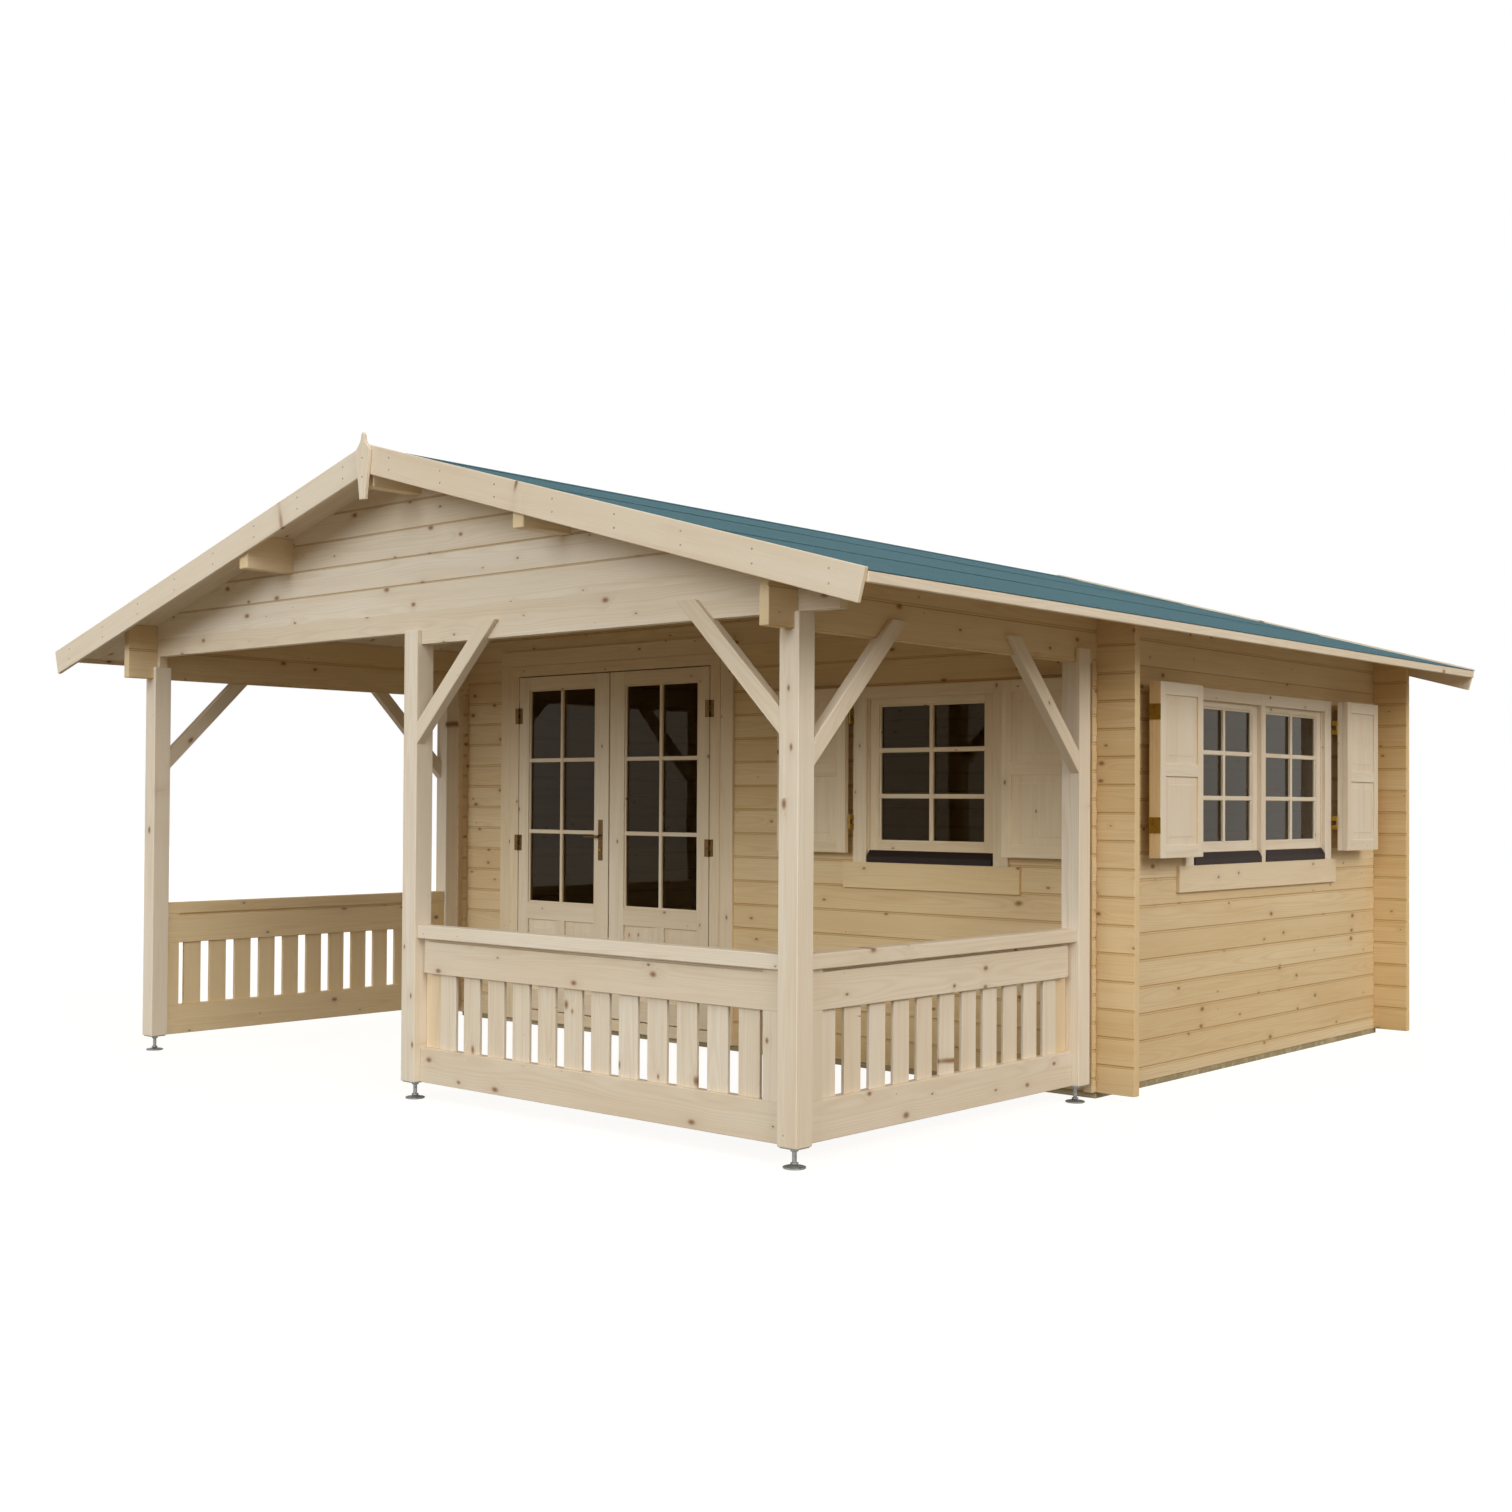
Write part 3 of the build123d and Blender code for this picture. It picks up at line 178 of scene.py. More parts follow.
class Shader:
    """Builds the nodes of one material or world."""

    def __init__(self, owner):
        owner.use_nodes = True
        self.owner, self.tree = owner, owner.node_tree
        self.tree.nodes.clear()

    def node(self, kind, inputs, output=0, **settings):
        """Add a node; inputs are wires or constants, output is one output or a tuple of them."""
        made = self.tree.nodes.new("ShaderNode" + kind)
        for key, value in settings.items():
            setattr(made, key, value)
        for key, value in inputs.items():
            self.feed(made.inputs[key], value)
        if isinstance(output, tuple):
            return [Wire(self, made.outputs[key]) for key in output]
        return Wire(self, made.outputs[output]) if made.outputs else None

    def feed(self, socket, value):
        """Link a wire or set a constant."""
        if isinstance(value, Wire):
            self.tree.links.new(value.socket, socket)
        elif socket.type == "RGBA":
            socket.default_value = (*value[:3], 1)
        else:
            socket.default_value = value

    def math(self, operation, *values, clamp=False):
        """Operation on numbers."""
        return self.node("Math", dict(enumerate(values)), operation=operation, use_clamp=clamp)

    def vector(self, operation, *values):
        """Operation on vectors."""
        return self.node("VectorMath", dict(enumerate(values)), operation=operation)

    def scaled(self, vector, by):
        """A vector times another, part by part."""
        return self.vector("MULTIPLY", vector, by)

    def parts(self, vector):
        """The three numbers of a vector or colour."""
        return self.node("SeparateXYZ", {0: vector}, (0, 1, 2))

    def band(self, value, low, high, to_low=0.0, to_high=1.0):
        """Smooth step of a value from one range to another."""
        inputs = dict(enumerate((value, low, high, to_low, to_high)))
        return self.node("MapRange", inputs, interpolation_type="SMOOTHSTEP")

    def blend(self, factor, first, second, mode="MIX"):
        """Mix of two colours."""
        return self.node("Mix", {0: factor, 6: first, 7: second}, 2, data_type="RGBA", blend_type=mode)

    def noise(self, vector, scale, detail, roughness, output=0):
        """Noise from 0 to 1, its scale a number or one for each axis."""
        if isinstance(scale, tuple):
            vector, scale = self.scaled(vector, scale), 1.0
        return self.node(
            "TexNoise", {"Vector": vector, "Scale": scale, "Detail": detail, "Roughness": roughness}, output
        )

    def place(self):
        """Place on the piece in metres."""
        return self.node("TexCoord", {}, "Object")

    def attribute(self, name):
        """Attribute kept with the mesh."""
        return self.node("Attribute", {}, "Vector", attribute_name=name, attribute_type="GEOMETRY")

    def seen(self):
        """1 for what the camera sees, also in a mirror and through glass."""
        camera, glossy, through = self.node(
            "LightPath", {}, ("Is Camera Ray", "Is Glossy Ray", "Is Transmission Ray")
        )
        return self.math("MAXIMUM", self.math("MAXIMUM", camera, glossy), through)

    def surface(self, inputs, height, strength, distance):
        """Finish with a Principled surface and its bump."""
        bump = self.node("Bump", {"Strength": strength, "Distance": distance, "Height": height})
        self.node("OutputMaterial", {0: self.node("BsdfPrincipled", {**inputs, "Normal": bump})})
        return self.owner


def tinted(shade, *by):
    """Colour times one number, or a number for each part."""
    return tuple(min(1.0, part * tint) for part, tint in zip(shade, by if len(by) == 3 else by * 3))


def timber_material(s, colours, pale, warm, *, knots=1.0, rings=0.2, gloss=0.62):
    """Softwood in the grain frame of each piece: growth rings, knots and end grain.

    The grain attribute holds places along, across and through a piece. Its first number runs
    along the fibres, and the rings circle a pith that lies outside the piece. The traits
    attribute holds a tone for each piece, 1 on sawn ends and -1 on the sloping faces in the
    joints between logs, which get painted shade, and how much painted shade, darker and
    warmer, the piece gets for the shade it stands in.
    """
    ring_width = 0.0055
    grain = s.attribute("grain")
    tone, trait, yellow = s.parts(s.attribute("traits"))
    # cut marks sawn ends; the other mask marks the faces in the joints between logs, which get painted shade
    cut, joint_shade = (s.math("MAXIMUM", trait * way, 0.0) for way in (1.0, -1.0))
    side_grain = 1.0 - cut

    sway = s.noise(grain, (0.9, 3.0, 3.0), 2.0, 0.45, "Color")
    sway = s.vector("SUBTRACT", sway, (0.5, 0.5, 0.5))
    knot_place = s.vector("ADD", s.scaled(grain, (4.6, 8.0, 1.0)), s.scaled(sway, (0.5, 0.5, 0.0)))
    cell, apart = s.node(
        "TexVoronoi", {"Vector": knot_place, "Scale": 1.0}, ("Color", "Distance"), voronoi_dimensions="2D"
    )
    radius = s.band(s.parts(cell)[0], 0.62, 1.05, 0.0, 0.125 * knots)
    reach = apart / (radius + 0.0005)
    knot = s.band(reach, 1.2, 0.55) * side_grain
    nearness = apart / (radius * 2.2 + 0.004)
    halo = s.math("POWER", 2.7183, nearness * -1.6) * side_grain

    across = s.parts(s.vector("ADD", grain, s.scaled(sway, (0.0, 0.05, 0.05))))
    from_pith = s.math("SQRT", across[1] * across[1] + across[2] * across[2])
    wave = s.math("SINE", (from_pith + halo * 0.012) * (2 * math.pi / ring_width))
    late_wood = (wave * 0.5 + 0.5) ** 2.2
    fibre = s.noise(grain, (6.0, 420.0, 420.0), 3.0, 0.6)
    patches = s.noise(grain, (0.9, 7.0, 7.0), 3.0, 0.5)
    streak = s.band(s.noise(grain, (1.5, 32.0, 32.0), 3.0, 0.55), 0.45, 0.8)

    rim = tuple(part * 0.55 + heart * 0.45 for part, heart in zip(warm, colours.knot))
    base = s.blend(s.math("ADD", tone * 0.55, patches * 1.2 - 0.38, clamp=True), pale, warm)
    for factor, shade, mode in (
        (streak * 0.36, tinted(warm, 0.88, 0.80, 0.70), "MIX"),
        (late_wood * (cut * 0.3 + rings), tinted(warm, 0.80, 0.68, 0.54), "MIX"),
        (1.0, fibre * 0.16 + 0.92, "MULTIPLY"),
        (cut * 0.45, colours.end_grain, "MIX"),
        # Painted shade: darker and warmer, as much as each piece is given, for pieces in shade under the
        # roofs and in recesses
        (yellow, (1.0, 0.88, 0.62), "MULTIPLY"),
        # Painted shade in the joints between logs
        (joint_shade, (0.76, 0.68, 0.56), "MULTIPLY"),
        (halo * s.band(radius, 0.005, 0.04) * 0.45, rim, "MIX"),
        (knot * 0.88, s.blend(s.band(reach, 0.15, 0.9), colours.knot, rim), "MIX"),
    ):
        base = s.blend(factor, base, shade, mode)
    height = late_wood * 0.35 + fibre * 0.65 - knot * 0.4
    return s.surface(
        {"Base Color": base, "Roughness": fibre * 0.16 + gloss, "Specular IOR Level": 0.18},
        height, 0.5, 0.0005,
    )


def batten_material(s, colours):
    """Treated battens, weathered pale in patches."""
    grain = s.attribute("grain")
    fibre = s.noise(grain, (4.0, 160.0, 160.0), 4.0, 0.6)
    patches = s.noise(grain, (2.0, 20.0, 20.0), 3.0, 0.6)
    base = s.blend(s.band(fibre, 0.3, 0.75), tinted(colours.batten, 0.55), colours.batten)
    base = s.blend(s.band(patches, 0.45, 0.7) * 0.4, base, colours.end_grain)
    return s.surface({"Base Color": base, "Roughness": fibre * 0.2 + 0.7}, fibre, 0.6, 0.0008)


def felt_material(s, colours):
    """Mineral felt: fine grains over a darker ground, with soft weathered patches."""
    place = s.place()
    speck, apart = s.node("TexVoronoi", {"Vector": place, "Scale": 420.0}, ("Color", "Distance"))
    speck = s.parts(speck)[0]
    patches = s.noise(place, (1.2, 0.5, 1.2), 4.0, 0.6)
    streaks = s.noise(place, (14.0, 0.8, 14.0), 3.0, 0.6)
    pale = tuple(min(1.0, part * 1.3 + 0.01) for part in colours.felt)
    base = s.blend(s.band(speck, 0.15, 0.9), colours.felt_dark, pale)
    base = s.blend(s.band(patches, 0.35, 0.7) * 0.35, base, colours.felt)
    base = s.blend(s.band(streaks, 0.45, 0.75) * 0.25, base, colours.felt_dark)
    return s.surface(
        {"Base Color": base, "Roughness": speck * 0.12 + 0.82, "Specular IOR Level": 0.3},
        patches * 0.6 - apart, 0.7, 0.0012,
    )


def glass_material(s, colours):
    """Float glass with a faint film of dust; its brown tint is painted shade for the room seen through it."""
    film = s.band(s.noise(s.place(), 9.0, 3.0, 0.6), 0.4, 0.8, 0.0, 0.035)
    ripple = s.noise(s.place(), 2.5, 1.0, 0.4)
    return s.surface(
        # The brown tint is painted shade for the room seen through; the warm specular tint paints the
        # reflection of the wood round the panes
        {"Base Color": colours.glass, "Roughness": film, "Transmission Weight": 1.0, "IOR": 1.4,
         "Specular Tint": (0.36, 0.3, 0.2)},
        ripple, 0.08, 0.01,
    )


def metal_material(s, tint, worn, rough):
    """Metal fitting with brushed roughness and darker tarnish in patches."""
    tarnish = s.noise(s.place(), 60.0, 4.0, 0.65)
    brushed = s.noise(s.place(), (900.0, 900.0, 60.0), 2.0, 0.6)
    base = s.blend(s.band(tarnish, 0.45, 0.75), tint, worn)
    roughness = brushed * 0.14 + (tarnish * 0.2 + rough)
    return s.surface({"Base Color": base, "Roughness": roughness, "Metallic": 1.0}, brushed, 0.15, 0.0003)


def sill_material(s, colours):
    """Dark stained sill with the fibres just showing."""
    fibre = s.noise(s.attribute("grain"), (5.0, 220.0, 220.0), 3.0, 0.6)
    base = s.blend(s.band(fibre, 0.35, 0.75), colours.sill, tinted(colours.sill, 1.9))
    return s.surface(
        {"Base Color": base, "Roughness": fibre * 0.2 + 0.5, "Specular IOR Level": 0.2}, fibre, 0.4, 0.0005
    )


MAKERS = {
    "spruce_logs": lambda s, c: timber_material(s, c, c.log_pale, c.log_warm),
    "spruce_boards": lambda s, c: timber_material(s, c, c.porch_pale, c.porch_warm),
    "spruce_joinery": lambda s, c: timber_material(
        s, c, c.porch_pale, c.porch_warm, knots=0.6, rings=0.14, gloss=0.55
    ),
    "treated_battens": batten_material,
    "roofing_felt": felt_material,
    "clear_glass": glass_material,
    "brass_fittings": lambda s, c: metal_material(s, c.brass, paint(120, 84, 40), 0.28),
    "aged_brass": lambda s, c: metal_material(s, c.aged_brass, paint(60, 42, 24), 0.34),
    "zinc_steel": lambda s, c: metal_material(s, c.zinc, paint(112, 110, 104), 0.5),
    "dark_sill": sill_material,
}


def material(key):
    """The finish with that name, made when it is first asked for."""
    name = "cabin_" + key
    found = bpy.data.materials.get(name)
    return found or MAKERS[key](Shader(bpy.data.materials.new(name)), bpy.context.scene.cabin_colours)


# ---------------------------------------------------------------- making pieces
AXES = {"x": (0, 2, 1), "y": (1, 2, 0), "z": (2, 0, 1)}


def stop_if(problem, message):
    """Raise where an operator can't finish its piece."""
    if problem:
        raise RuntimeError(message)


def link(name, data):
    """New object in the scene."""
    made = bpy.data.objects.new(name, data)
    bpy.context.scene.collection.objects.link(made)
    return made


def dress(nodes, key):
    """Give CAD nodes their finish through their objects' material slots."""
    for node in nodes:
        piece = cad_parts[node]
        if not piece.material_slots:
            piece.data.materials.append(None)
        for slot in piece.material_slots:
            slot.link = "OBJECT"
            slot.material = material(key)


def span(points):
    """Low and high corners of the box round some points."""
    return [Vector([pick(point[n] for point in points) for n in range(3)]) for pick in (min, max)]


def cut_to(low, high, n, start, end):
    """Corners of a box that is cut to start and end along its axis n."""
    low, high = Vector(low), Vector(high)
    low[n], high[n] = start, end
    return low, high


def rows(low, high, width):
    """Starts and ends of equal boards, about as wide as asked, that cover a length."""
    count = round((high - low) / width)
    width = (high - low) / count
    return [(low + n * width, low + (n + 1) * width) for n in range(count)]


def welded(node):
    """Copy of a node's mesh with its corners welded."""
    part = bmesh.new()
    part.from_mesh(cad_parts[node].data)
    bmesh.ops.remove_doubles(part, verts=part.verts, dist=WELD)
    return part


def split_islands(part):
    """Lists of faces that touch each other through shared edges."""
    part.faces.index_update()
    left, found = set(part.faces), []
    while left:
        start = next(iter(left))
        group, stack = {start}, [start]
        while stack:
            near = {other for edge in stack.pop().edges for other in edge.link_faces} - group
            group |= near
            stack.extend(near)
        left -= group
        found.append(sorted(group, key=lambda f: f.index))
    return sorted(found, key=lambda group: group[0].index)


def island_boxes(node):
    """Boxes of the separate solids of a node."""
    part = welded(node)
    boxes = [span([v.co for f in island for v in f.verts]) for island in split_islands(part)]
    part.free()
    return boxes


def ease_edges(mesh, edges, ease):
    """Ease the sharp ones of some edges and return the faces there."""
    mesh.normal_update()
    sharp = [e for e in edges if len(e.link_faces) == 2 and e.calc_face_angle(0) > SHARP]
    done = bmesh.ops.bevel(mesh, geom=sharp, offset=ease, segments=1, affect="EDGES", clamp_overlap=True)
    mesh.normal_update()
    return {face for vert in done["verts"] for face in vert.link_faces}


def grain_turn(along):
    """Rotation from the row frame to a grain frame: along, across and through a piece."""
    return Matrix([Matrix.Identity(3)[n] for n in AXES[along]])


def longest_turn(low, high):
    """Grain frame along the longest side of a box."""
    return grain_turn("xyz"[max(range(3), key=lambda n: high[n] - low[n])])


def roof_angle():
    """Slope of the roof, from the ridge and the lower edges of the roof boards."""
    ridge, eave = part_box("roof_boards")[1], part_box("eave_boards")[1]
    return math.atan((ridge.z - eave.z) / (ridge.x - RIDGE_JOINT / 2))


def slope_turn(side):
    """Grain frame of a board that runs down one slope; side is -1 for left, 1 for right."""
    level, steep = math.cos(roof_angle()), math.sin(roof_angle())
    return Matrix(((level, 0, -side * steep), (0, 1, 0), (side * steep, 0, level)))


class Piece:
    """Gathers the parts of one piece into one mesh."""

    def __init__(self, name, key):
        self.name, self.key, self.mesh = name, key, bmesh.new()

    def faces(self, rings):
        """Faces between vertices, turned outwards."""
        made = [self.mesh.faces.new(ring) for ring in rings]
        bmesh.ops.recalc_face_normals(self.mesh, faces=made)
        self.mesh.normal_update()
        return made

    def loft(self, rings):
        """Closed solid through rings of places; a ring of one place is a tip."""
        rings = [[self.mesh.verts.new(place) for place in ring] for ring in rings]
        corners = [ring for ring in (rings[0], rings[-1]) if len(ring) > 1]
        for below, above in zip(rings, rings[1:]):
            for n in range(max(len(below), len(above))):
                pair = (n, below), (n + 1, below), (n + 1, above), (n, above)
                corners.append(list(dict.fromkeys(ring[place % len(ring)] for place, ring in pair)))
        return self.faces(corners)

    def finish(self, body="cabin", replaces=(), slot=None):
        """Make the object, give it its finish and let it ride on its body."""
        self.mesh.normal_update()
        mesh = bpy.data.meshes.new(self.name)
        self.mesh.to_mesh(mesh)
        self.mesh.free()
        mesh.materials.clear()
        mesh.materials.append(material(self.key))
        piece = link(self.name, mesh)
        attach(piece, body)
        if replaces:
            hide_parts(*replaces)


class Timber(Piece):
    """Gathers boards and logs, each with its own grain frame."""

    def __init__(self, name, key="spruce_joinery", yellow=0.0):
        super().__init__(name, key)
        self.yellow, self.count = yellow, 0
        self.grain = self.mesh.loops.layers.float_vector.new("grain")
        self.traits = self.mesh.loops.layers.float_vector.new("traits")

    def tell_grain(self, faces, turn, seed, middle, wide, jointed=False):
        """Give faces the grain frame of one piece of wood, placed by a seeded draw."""
        draw = random.Random(f"{self.name}/{seed}")
        flip = draw.choice((-1, 1))
        shift = Vector(
            (draw.uniform(0, 30), draw.uniform(-0.4, 0.4) * wide, flip * draw.uniform(0.035, 0.11))
        )
        tone = draw.random()
        for face in faces:
            sawn = abs((turn @ face.normal).x) > 0.8
            # The sloping faces in the joints between logs are marked for painted shade
            joint_shade_face = jointed and 0.25 < abs(face.normal.z) < 0.93
            trait = -1.0 if joint_shade_face else 1.0 if sawn else 0.0
            for loop in face.loops:
                loop[self.grain] = turn @ (loop.vert.co - middle) + shift
                loop[self.traits] = (tone, trait, self.yellow)

    def board(self, low, high, along, ease=None):
        """Board between two corners with eased edges."""
        low, high = Vector(low), Vector(high)
        middle, half = (low + high) / 2, (high - low) / 2
        ease = bpy.context.scene.cabin_sizes.thin_ease if ease is None else ease
        ease = min(ease, 0.4 * min(half))
        corners = list(product((-1, 1), repeat=3))
        points = {}
        for corner, axis in product(corners, range(3)):
            at = [corner[n] * (half[n] - (0 if n == axis else ease)) for n in range(3)]
            points[corner, axis] = self.mesh.verts.new(middle + Vector(at))
        rings = [[points[corner, axis] for axis in range(3)] for corner in corners]
        for axis in range(3):
            first, second = [n for n in range(3) if n != axis]

            def point(end, a, b, face):
                place = {axis: end, first: a, second: b}
                return points[(place[0], place[1], place[2]), face]

            for end in (-1, 1):
                rings.append([point(end, a, b, axis) for a, b in ((-1, -1), (1, -1), (1, 1), (-1, 1))])
            for a, b in product((-1, 1), repeat=2):
                sides = ((-1, first), (1, first), (1, second), (-1, second))
                rings.append([point(end, a, b, face) for end, face in sides])
        self.count += 1
        self.tell_grain(self.faces(rings), grain_turn(along), self.count, middle, sorted(high - low)[1])

    def solid(self, rings, turn, wide=0.1, ease=0.0):
        """Piece of wood with any outline, through rings of corners."""
        made = self.loft(rings)
        if ease:
            made = ease_edges(self.mesh, {edge for face in made for edge in face.edges}, ease)
        self.count += 1
        self.tell_grain(made, turn, self.count, sum(map(Vector, rings[0]), Vector()) / len(rings[0]), wide)

    def copy(self, node, along, logs=None):
        """Add a node's solids with eased edges; logs is the level where the stack starts.

        along is an axis, or a function that gives the grain frame for the box of a solid.
        """
        sizes = bpy.context.scene.cabin_sizes
        part = welded(node)
        bmesh.ops.dissolve_limit(part, angle_limit=0.01, verts=part.verts, edges=part.edges)
        ease_edges(part, part.edges, sizes.ease)
        # The solids are numbered before the cuts, which leave the faces in no certain order.
        solid = part.faces.layers.int.new("solid")
        islands = split_islands(part)
        if logs is not None:
            islands.sort(key=lambda island: min(v.co.x for f in island for v in f.verts))
        for number, island in enumerate(islands):
            for face in island:
                face[solid] = number
        for n in range(0 if logs is None else 24):
            geom = [*part.verts, *part.edges, *part.faces]
            level = (0, 0, logs + n * sizes.log_height)
            bmesh.ops.bisect_plane(part, geom=geom, plane_co=level, plane_no=(0, 0, 1), dist=1e-5)
        part.normal_update()
        groups = {}
        for face in part.faces:
            key = face[solid]
            if logs is not None:
                rise = face.calc_center_median().z - logs
                key = (key, math.floor(rise / sizes.log_height + 1e-4))
            groups.setdefault(key, []).append(face)
        lookup = {vert: self.mesh.verts.new(vert.co) for vert in part.verts}
        for key, members in sorted(groups.items()):
            made = [self.mesh.faces.new([lookup[v] for v in f.verts]) for f in members]
            self.mesh.normal_update()
            low, high = span([v.co for f in made for v in f.verts])
            turn = along(low, high) if callable(along) else grain_turn(along)
            self.tell_grain(
                made, turn, f"{node}/{key}", (low + high) / 2, sizes.log_height, logs is not None
            )
        part.free()
        return self

    def moulded_panel(self, low, high, middle, half, n, margin=0.045, sunk=0.006, step=0.004):
        """Sunk upright panel with a fielded middle on both faces, across axis n.

        low and high are its corners in its plane, and its fields lie half away from the middle.
        """
        insets = ((margin + step, half), (margin, half - step / 2), (0.0, half - sunk))
        rings = []
        for inset, out in (*((i, -out) for i, out in insets), *reversed(insets)):
            level, left, right = middle + out, low[0] + inset, high[0] - inset
            bottom, top = low[1] + inset, high[1] - inset
            corners = ((left, bottom), (right, bottom), (right, top), (left, top))
            rings.append([(a, level, up) if n == 1 else (level, a, up) for a, up in corners])
        self.solid(rings, grain_turn("z"), high[0] - low[0])

    def ring_boards(self, low, high, along, side, foot, head):
        """Two upright boards with a rail between them at the top and, where it has a width, below.

        Returns the corners between the uprights.
        """
        n = "xy".index(along)
        for start, end in ((low[n], low[n] + side), (high[n] - side, high[n])):
            self.board(*cut_to(low, high, n, start, end), "z")
        inner = cut_to(low, high, n, low[n] + side, high[n] - side)
        if foot:
            self.board(*cut_to(*inner, 2, low.z, low.z + foot), along)
        self.board(*cut_to(*inner, 2, high.z - head, high.z), along)
        return inner

    def glazing(self, along, up, glass, leaf, n):
        """Glazing bars and beads on both faces of a pane across axis n, two lights by three."""
        bar, bead, ease = 0.011, 0.010, 0.003
        middle, grain = sum(along) / 2, "yx"[n]
        for pane_face, leaf_face in zip(glass, leaf):
            way = 1 if leaf_face > pane_face else -1
            bar_face = pane_face + way * 0.0158
            bead_face = pane_face + way * min(0.012, abs(leaf_face - pane_face) - 0.003)

            def put(start, end, low, high, face, grain_axis):
                near, far = sorted((pane_face, face))
                ends = ((start, near, low), (end, far, high)) if n else ((near, start, low), (far, end, high))
                self.board(*ends, grain_axis, ease)

            put(middle - bar, middle + bar, *up, bar_face, "z")
            for third in (1, 2):
                place = up[0] + third * (up[1] - up[0]) / 3
                for start, end in ((along[0], middle - bar), (middle + bar, along[1])):
                    put(start, end, place - bar, place + bar, bar_face, grain)
            for start, end in ((along[0], along[0] + bead), (along[1] - bead, along[1])):
                put(start, end, *up, bead_face, "z")
            for low, high in ((up[0], up[0] + bead), (up[1] - bead, up[1])):
                put(along[0] + bead, along[1] - bead, low, high, bead_face, grain)


class Metal(Piece):
    """Gathers turned and folded metal parts."""

    def turned(self, centre, axis, profile, sides=20):
        """Turned part about an axis; profile is (distance along, radius) pairs."""
        centre, axis = Vector(centre), Vector(axis).normalized()
        side = axis.orthogonal().normalized()
        other = axis.cross(side)
        turns = [2 * math.pi * n / sides for n in range(sides)]
        rings = []
        for along, radius in profile:
            middle = centre + axis * along
            spokes = [(side * math.cos(turn) + other * math.sin(turn)) * radius for turn in turns]
            rings.append([middle + spoke for spoke in spokes] if radius else [middle])
        for face in self.loft(rings):
            face.smooth = len(face.verts) == 4

    def plate(self, low, high, ease):
        """Flat plate between two corners, its edges eased."""
        low, high = Vector(low), Vector(high)
        place = Matrix.Translation((low + high) / 2) @ Matrix.Diagonal((*(high - low), 1))
        made = bmesh.ops.create_cube(self.mesh, size=1, matrix=place)["verts"]
        edges = {e for v in made for e in v.link_edges}
        ease = min(ease, 0.3 * min(high - low))
        bmesh.ops.bevel(self.mesh, geom=list(edges), offset=ease, segments=1, affect="EDGES")

    def screw_heads(self, places, direction, radius=0.0042):
        """Countersunk screw heads, each with a recess, just proud of a face."""
        direction = Vector(direction)
        profile = [(0, radius), (0.0018, radius), (0.0021, radius * 0.8), (0.0021, radius * 0.35),
                   (0.0009, radius * 0.22), (0.0009, 0)]
        for place in places:
            self.turned(Vector(place) - direction * 0.0015, direction, profile, 10)


# ---------------------------------------------------------------- operators
class CabinStageOperator(bpy.types.Operator):
    """Make the floor, the soft lights and the camera"""

    bl_idname = "cabin.stage"
    bl_label = "Stage"

    def execute(self, context):
        scene, stage = context.scene, context.scene.cabin_stage
        self.make_floor(stage)
        self.make_world(scene, stage)
        self.make_light("front_light", stage.front, (0.915, 0.965, 1.0), (-0.10, 0.95, -0.29))
        self.make_light("side_light", stage.side, (0.985, 0.965, 0.935), (-0.92, 0.22, -0.50))
        scene.camera = self.make_camera(stage)
        scene.view_settings.view_transform = "Standard"
        return {"FINISHED"}

    def make_floor(self, stage):
        """Floor that keeps the shadow and looks almost white."""
        mesh = bpy.data.meshes.new("studio_floor")
        disc = bmesh.new()
        bmesh.ops.create_circle(disc, cap_ends=True, radius=stage.floor_radius, segments=96)
        disc.to_mesh(mesh)
        disc.free()
        s = Shader(bpy.data.materials.new("studio_floor"))
        pale = s.node("BsdfDiffuse", {"Color": (0.24, 0.205, 0.155)})
        glow = s.node("Emission", {"Color": (1, 1, 1), "Strength": s.seen() * 0.9})
        s.node("OutputMaterial", {0: s.node("AddShader", {0: pale, 1: glow})})
        mesh.materials.append(s.owner)
        link("studio_floor", mesh)

    def make_world(self, scene, stage):
        """Soft warm light from all round, with a white backdrop."""
        scene.world = bpy.data.worlds.new("studio")
        s = Shader(scene.world)
        height = s.parts(s.node("TexCoord", {}, "Generated"))[2]
        rise = s.node("MapRange", {"Value": height, "To Min": stage.horizon, "To Max": stage.sky})
        soft = s.node("Background", {0: (1.0, 0.935, 0.81), 1: rise})
        white = s.node("Background", {0: (1, 1, 1), 1: 1.0})
        s.node("OutputWorld", {0: s.node("MixShader", {0: s.seen(), 1: soft, 2: white})})

    def make_light(self, name, strength, tint, way):
        """Broad soft light from far away that shines along way."""
        lamp = bpy.data.lights.new(name, "SUN")
        lamp.energy, lamp.color, lamp.angle = strength, tint, math.radians(32)
        light = link(name, lamp)
        light.rotation_mode = "QUATERNION"
        light.rotation_quaternion = Vector(way).to_track_quat("-Z", "Y")

    def make_camera(self, stage):
        """Camera turned, tilted and rolled from straight ahead."""
        lens = bpy.data.cameras.new("camera")
        lens.lens, lens.sensor_width, lens.clip_end = stage.focal_length, 36.0, 200.0
        lens.shift_x, lens.shift_y = stage.shift_x, stage.shift_y
        turn, tilt, roll = stage.camera_turn, stage.camera_tilt, stage.camera_roll
        ahead = Vector((-math.sin(turn) * math.cos(tilt), math.cos(turn) * math.cos(tilt), math.sin(tilt)))
        right = Vector((math.cos(turn), math.sin(turn), 0))
        up = right.cross(ahead)
        right, up = right * math.cos(roll) + up * math.sin(roll), up * math.cos(roll) - right * math.sin(roll)
        camera = link("camera", lens)
        turned = Matrix((right, up, -ahead)).transposed().to_4x4()
        camera.matrix_world = Matrix.Translation(stage.camera_at) @ turned
        return camera


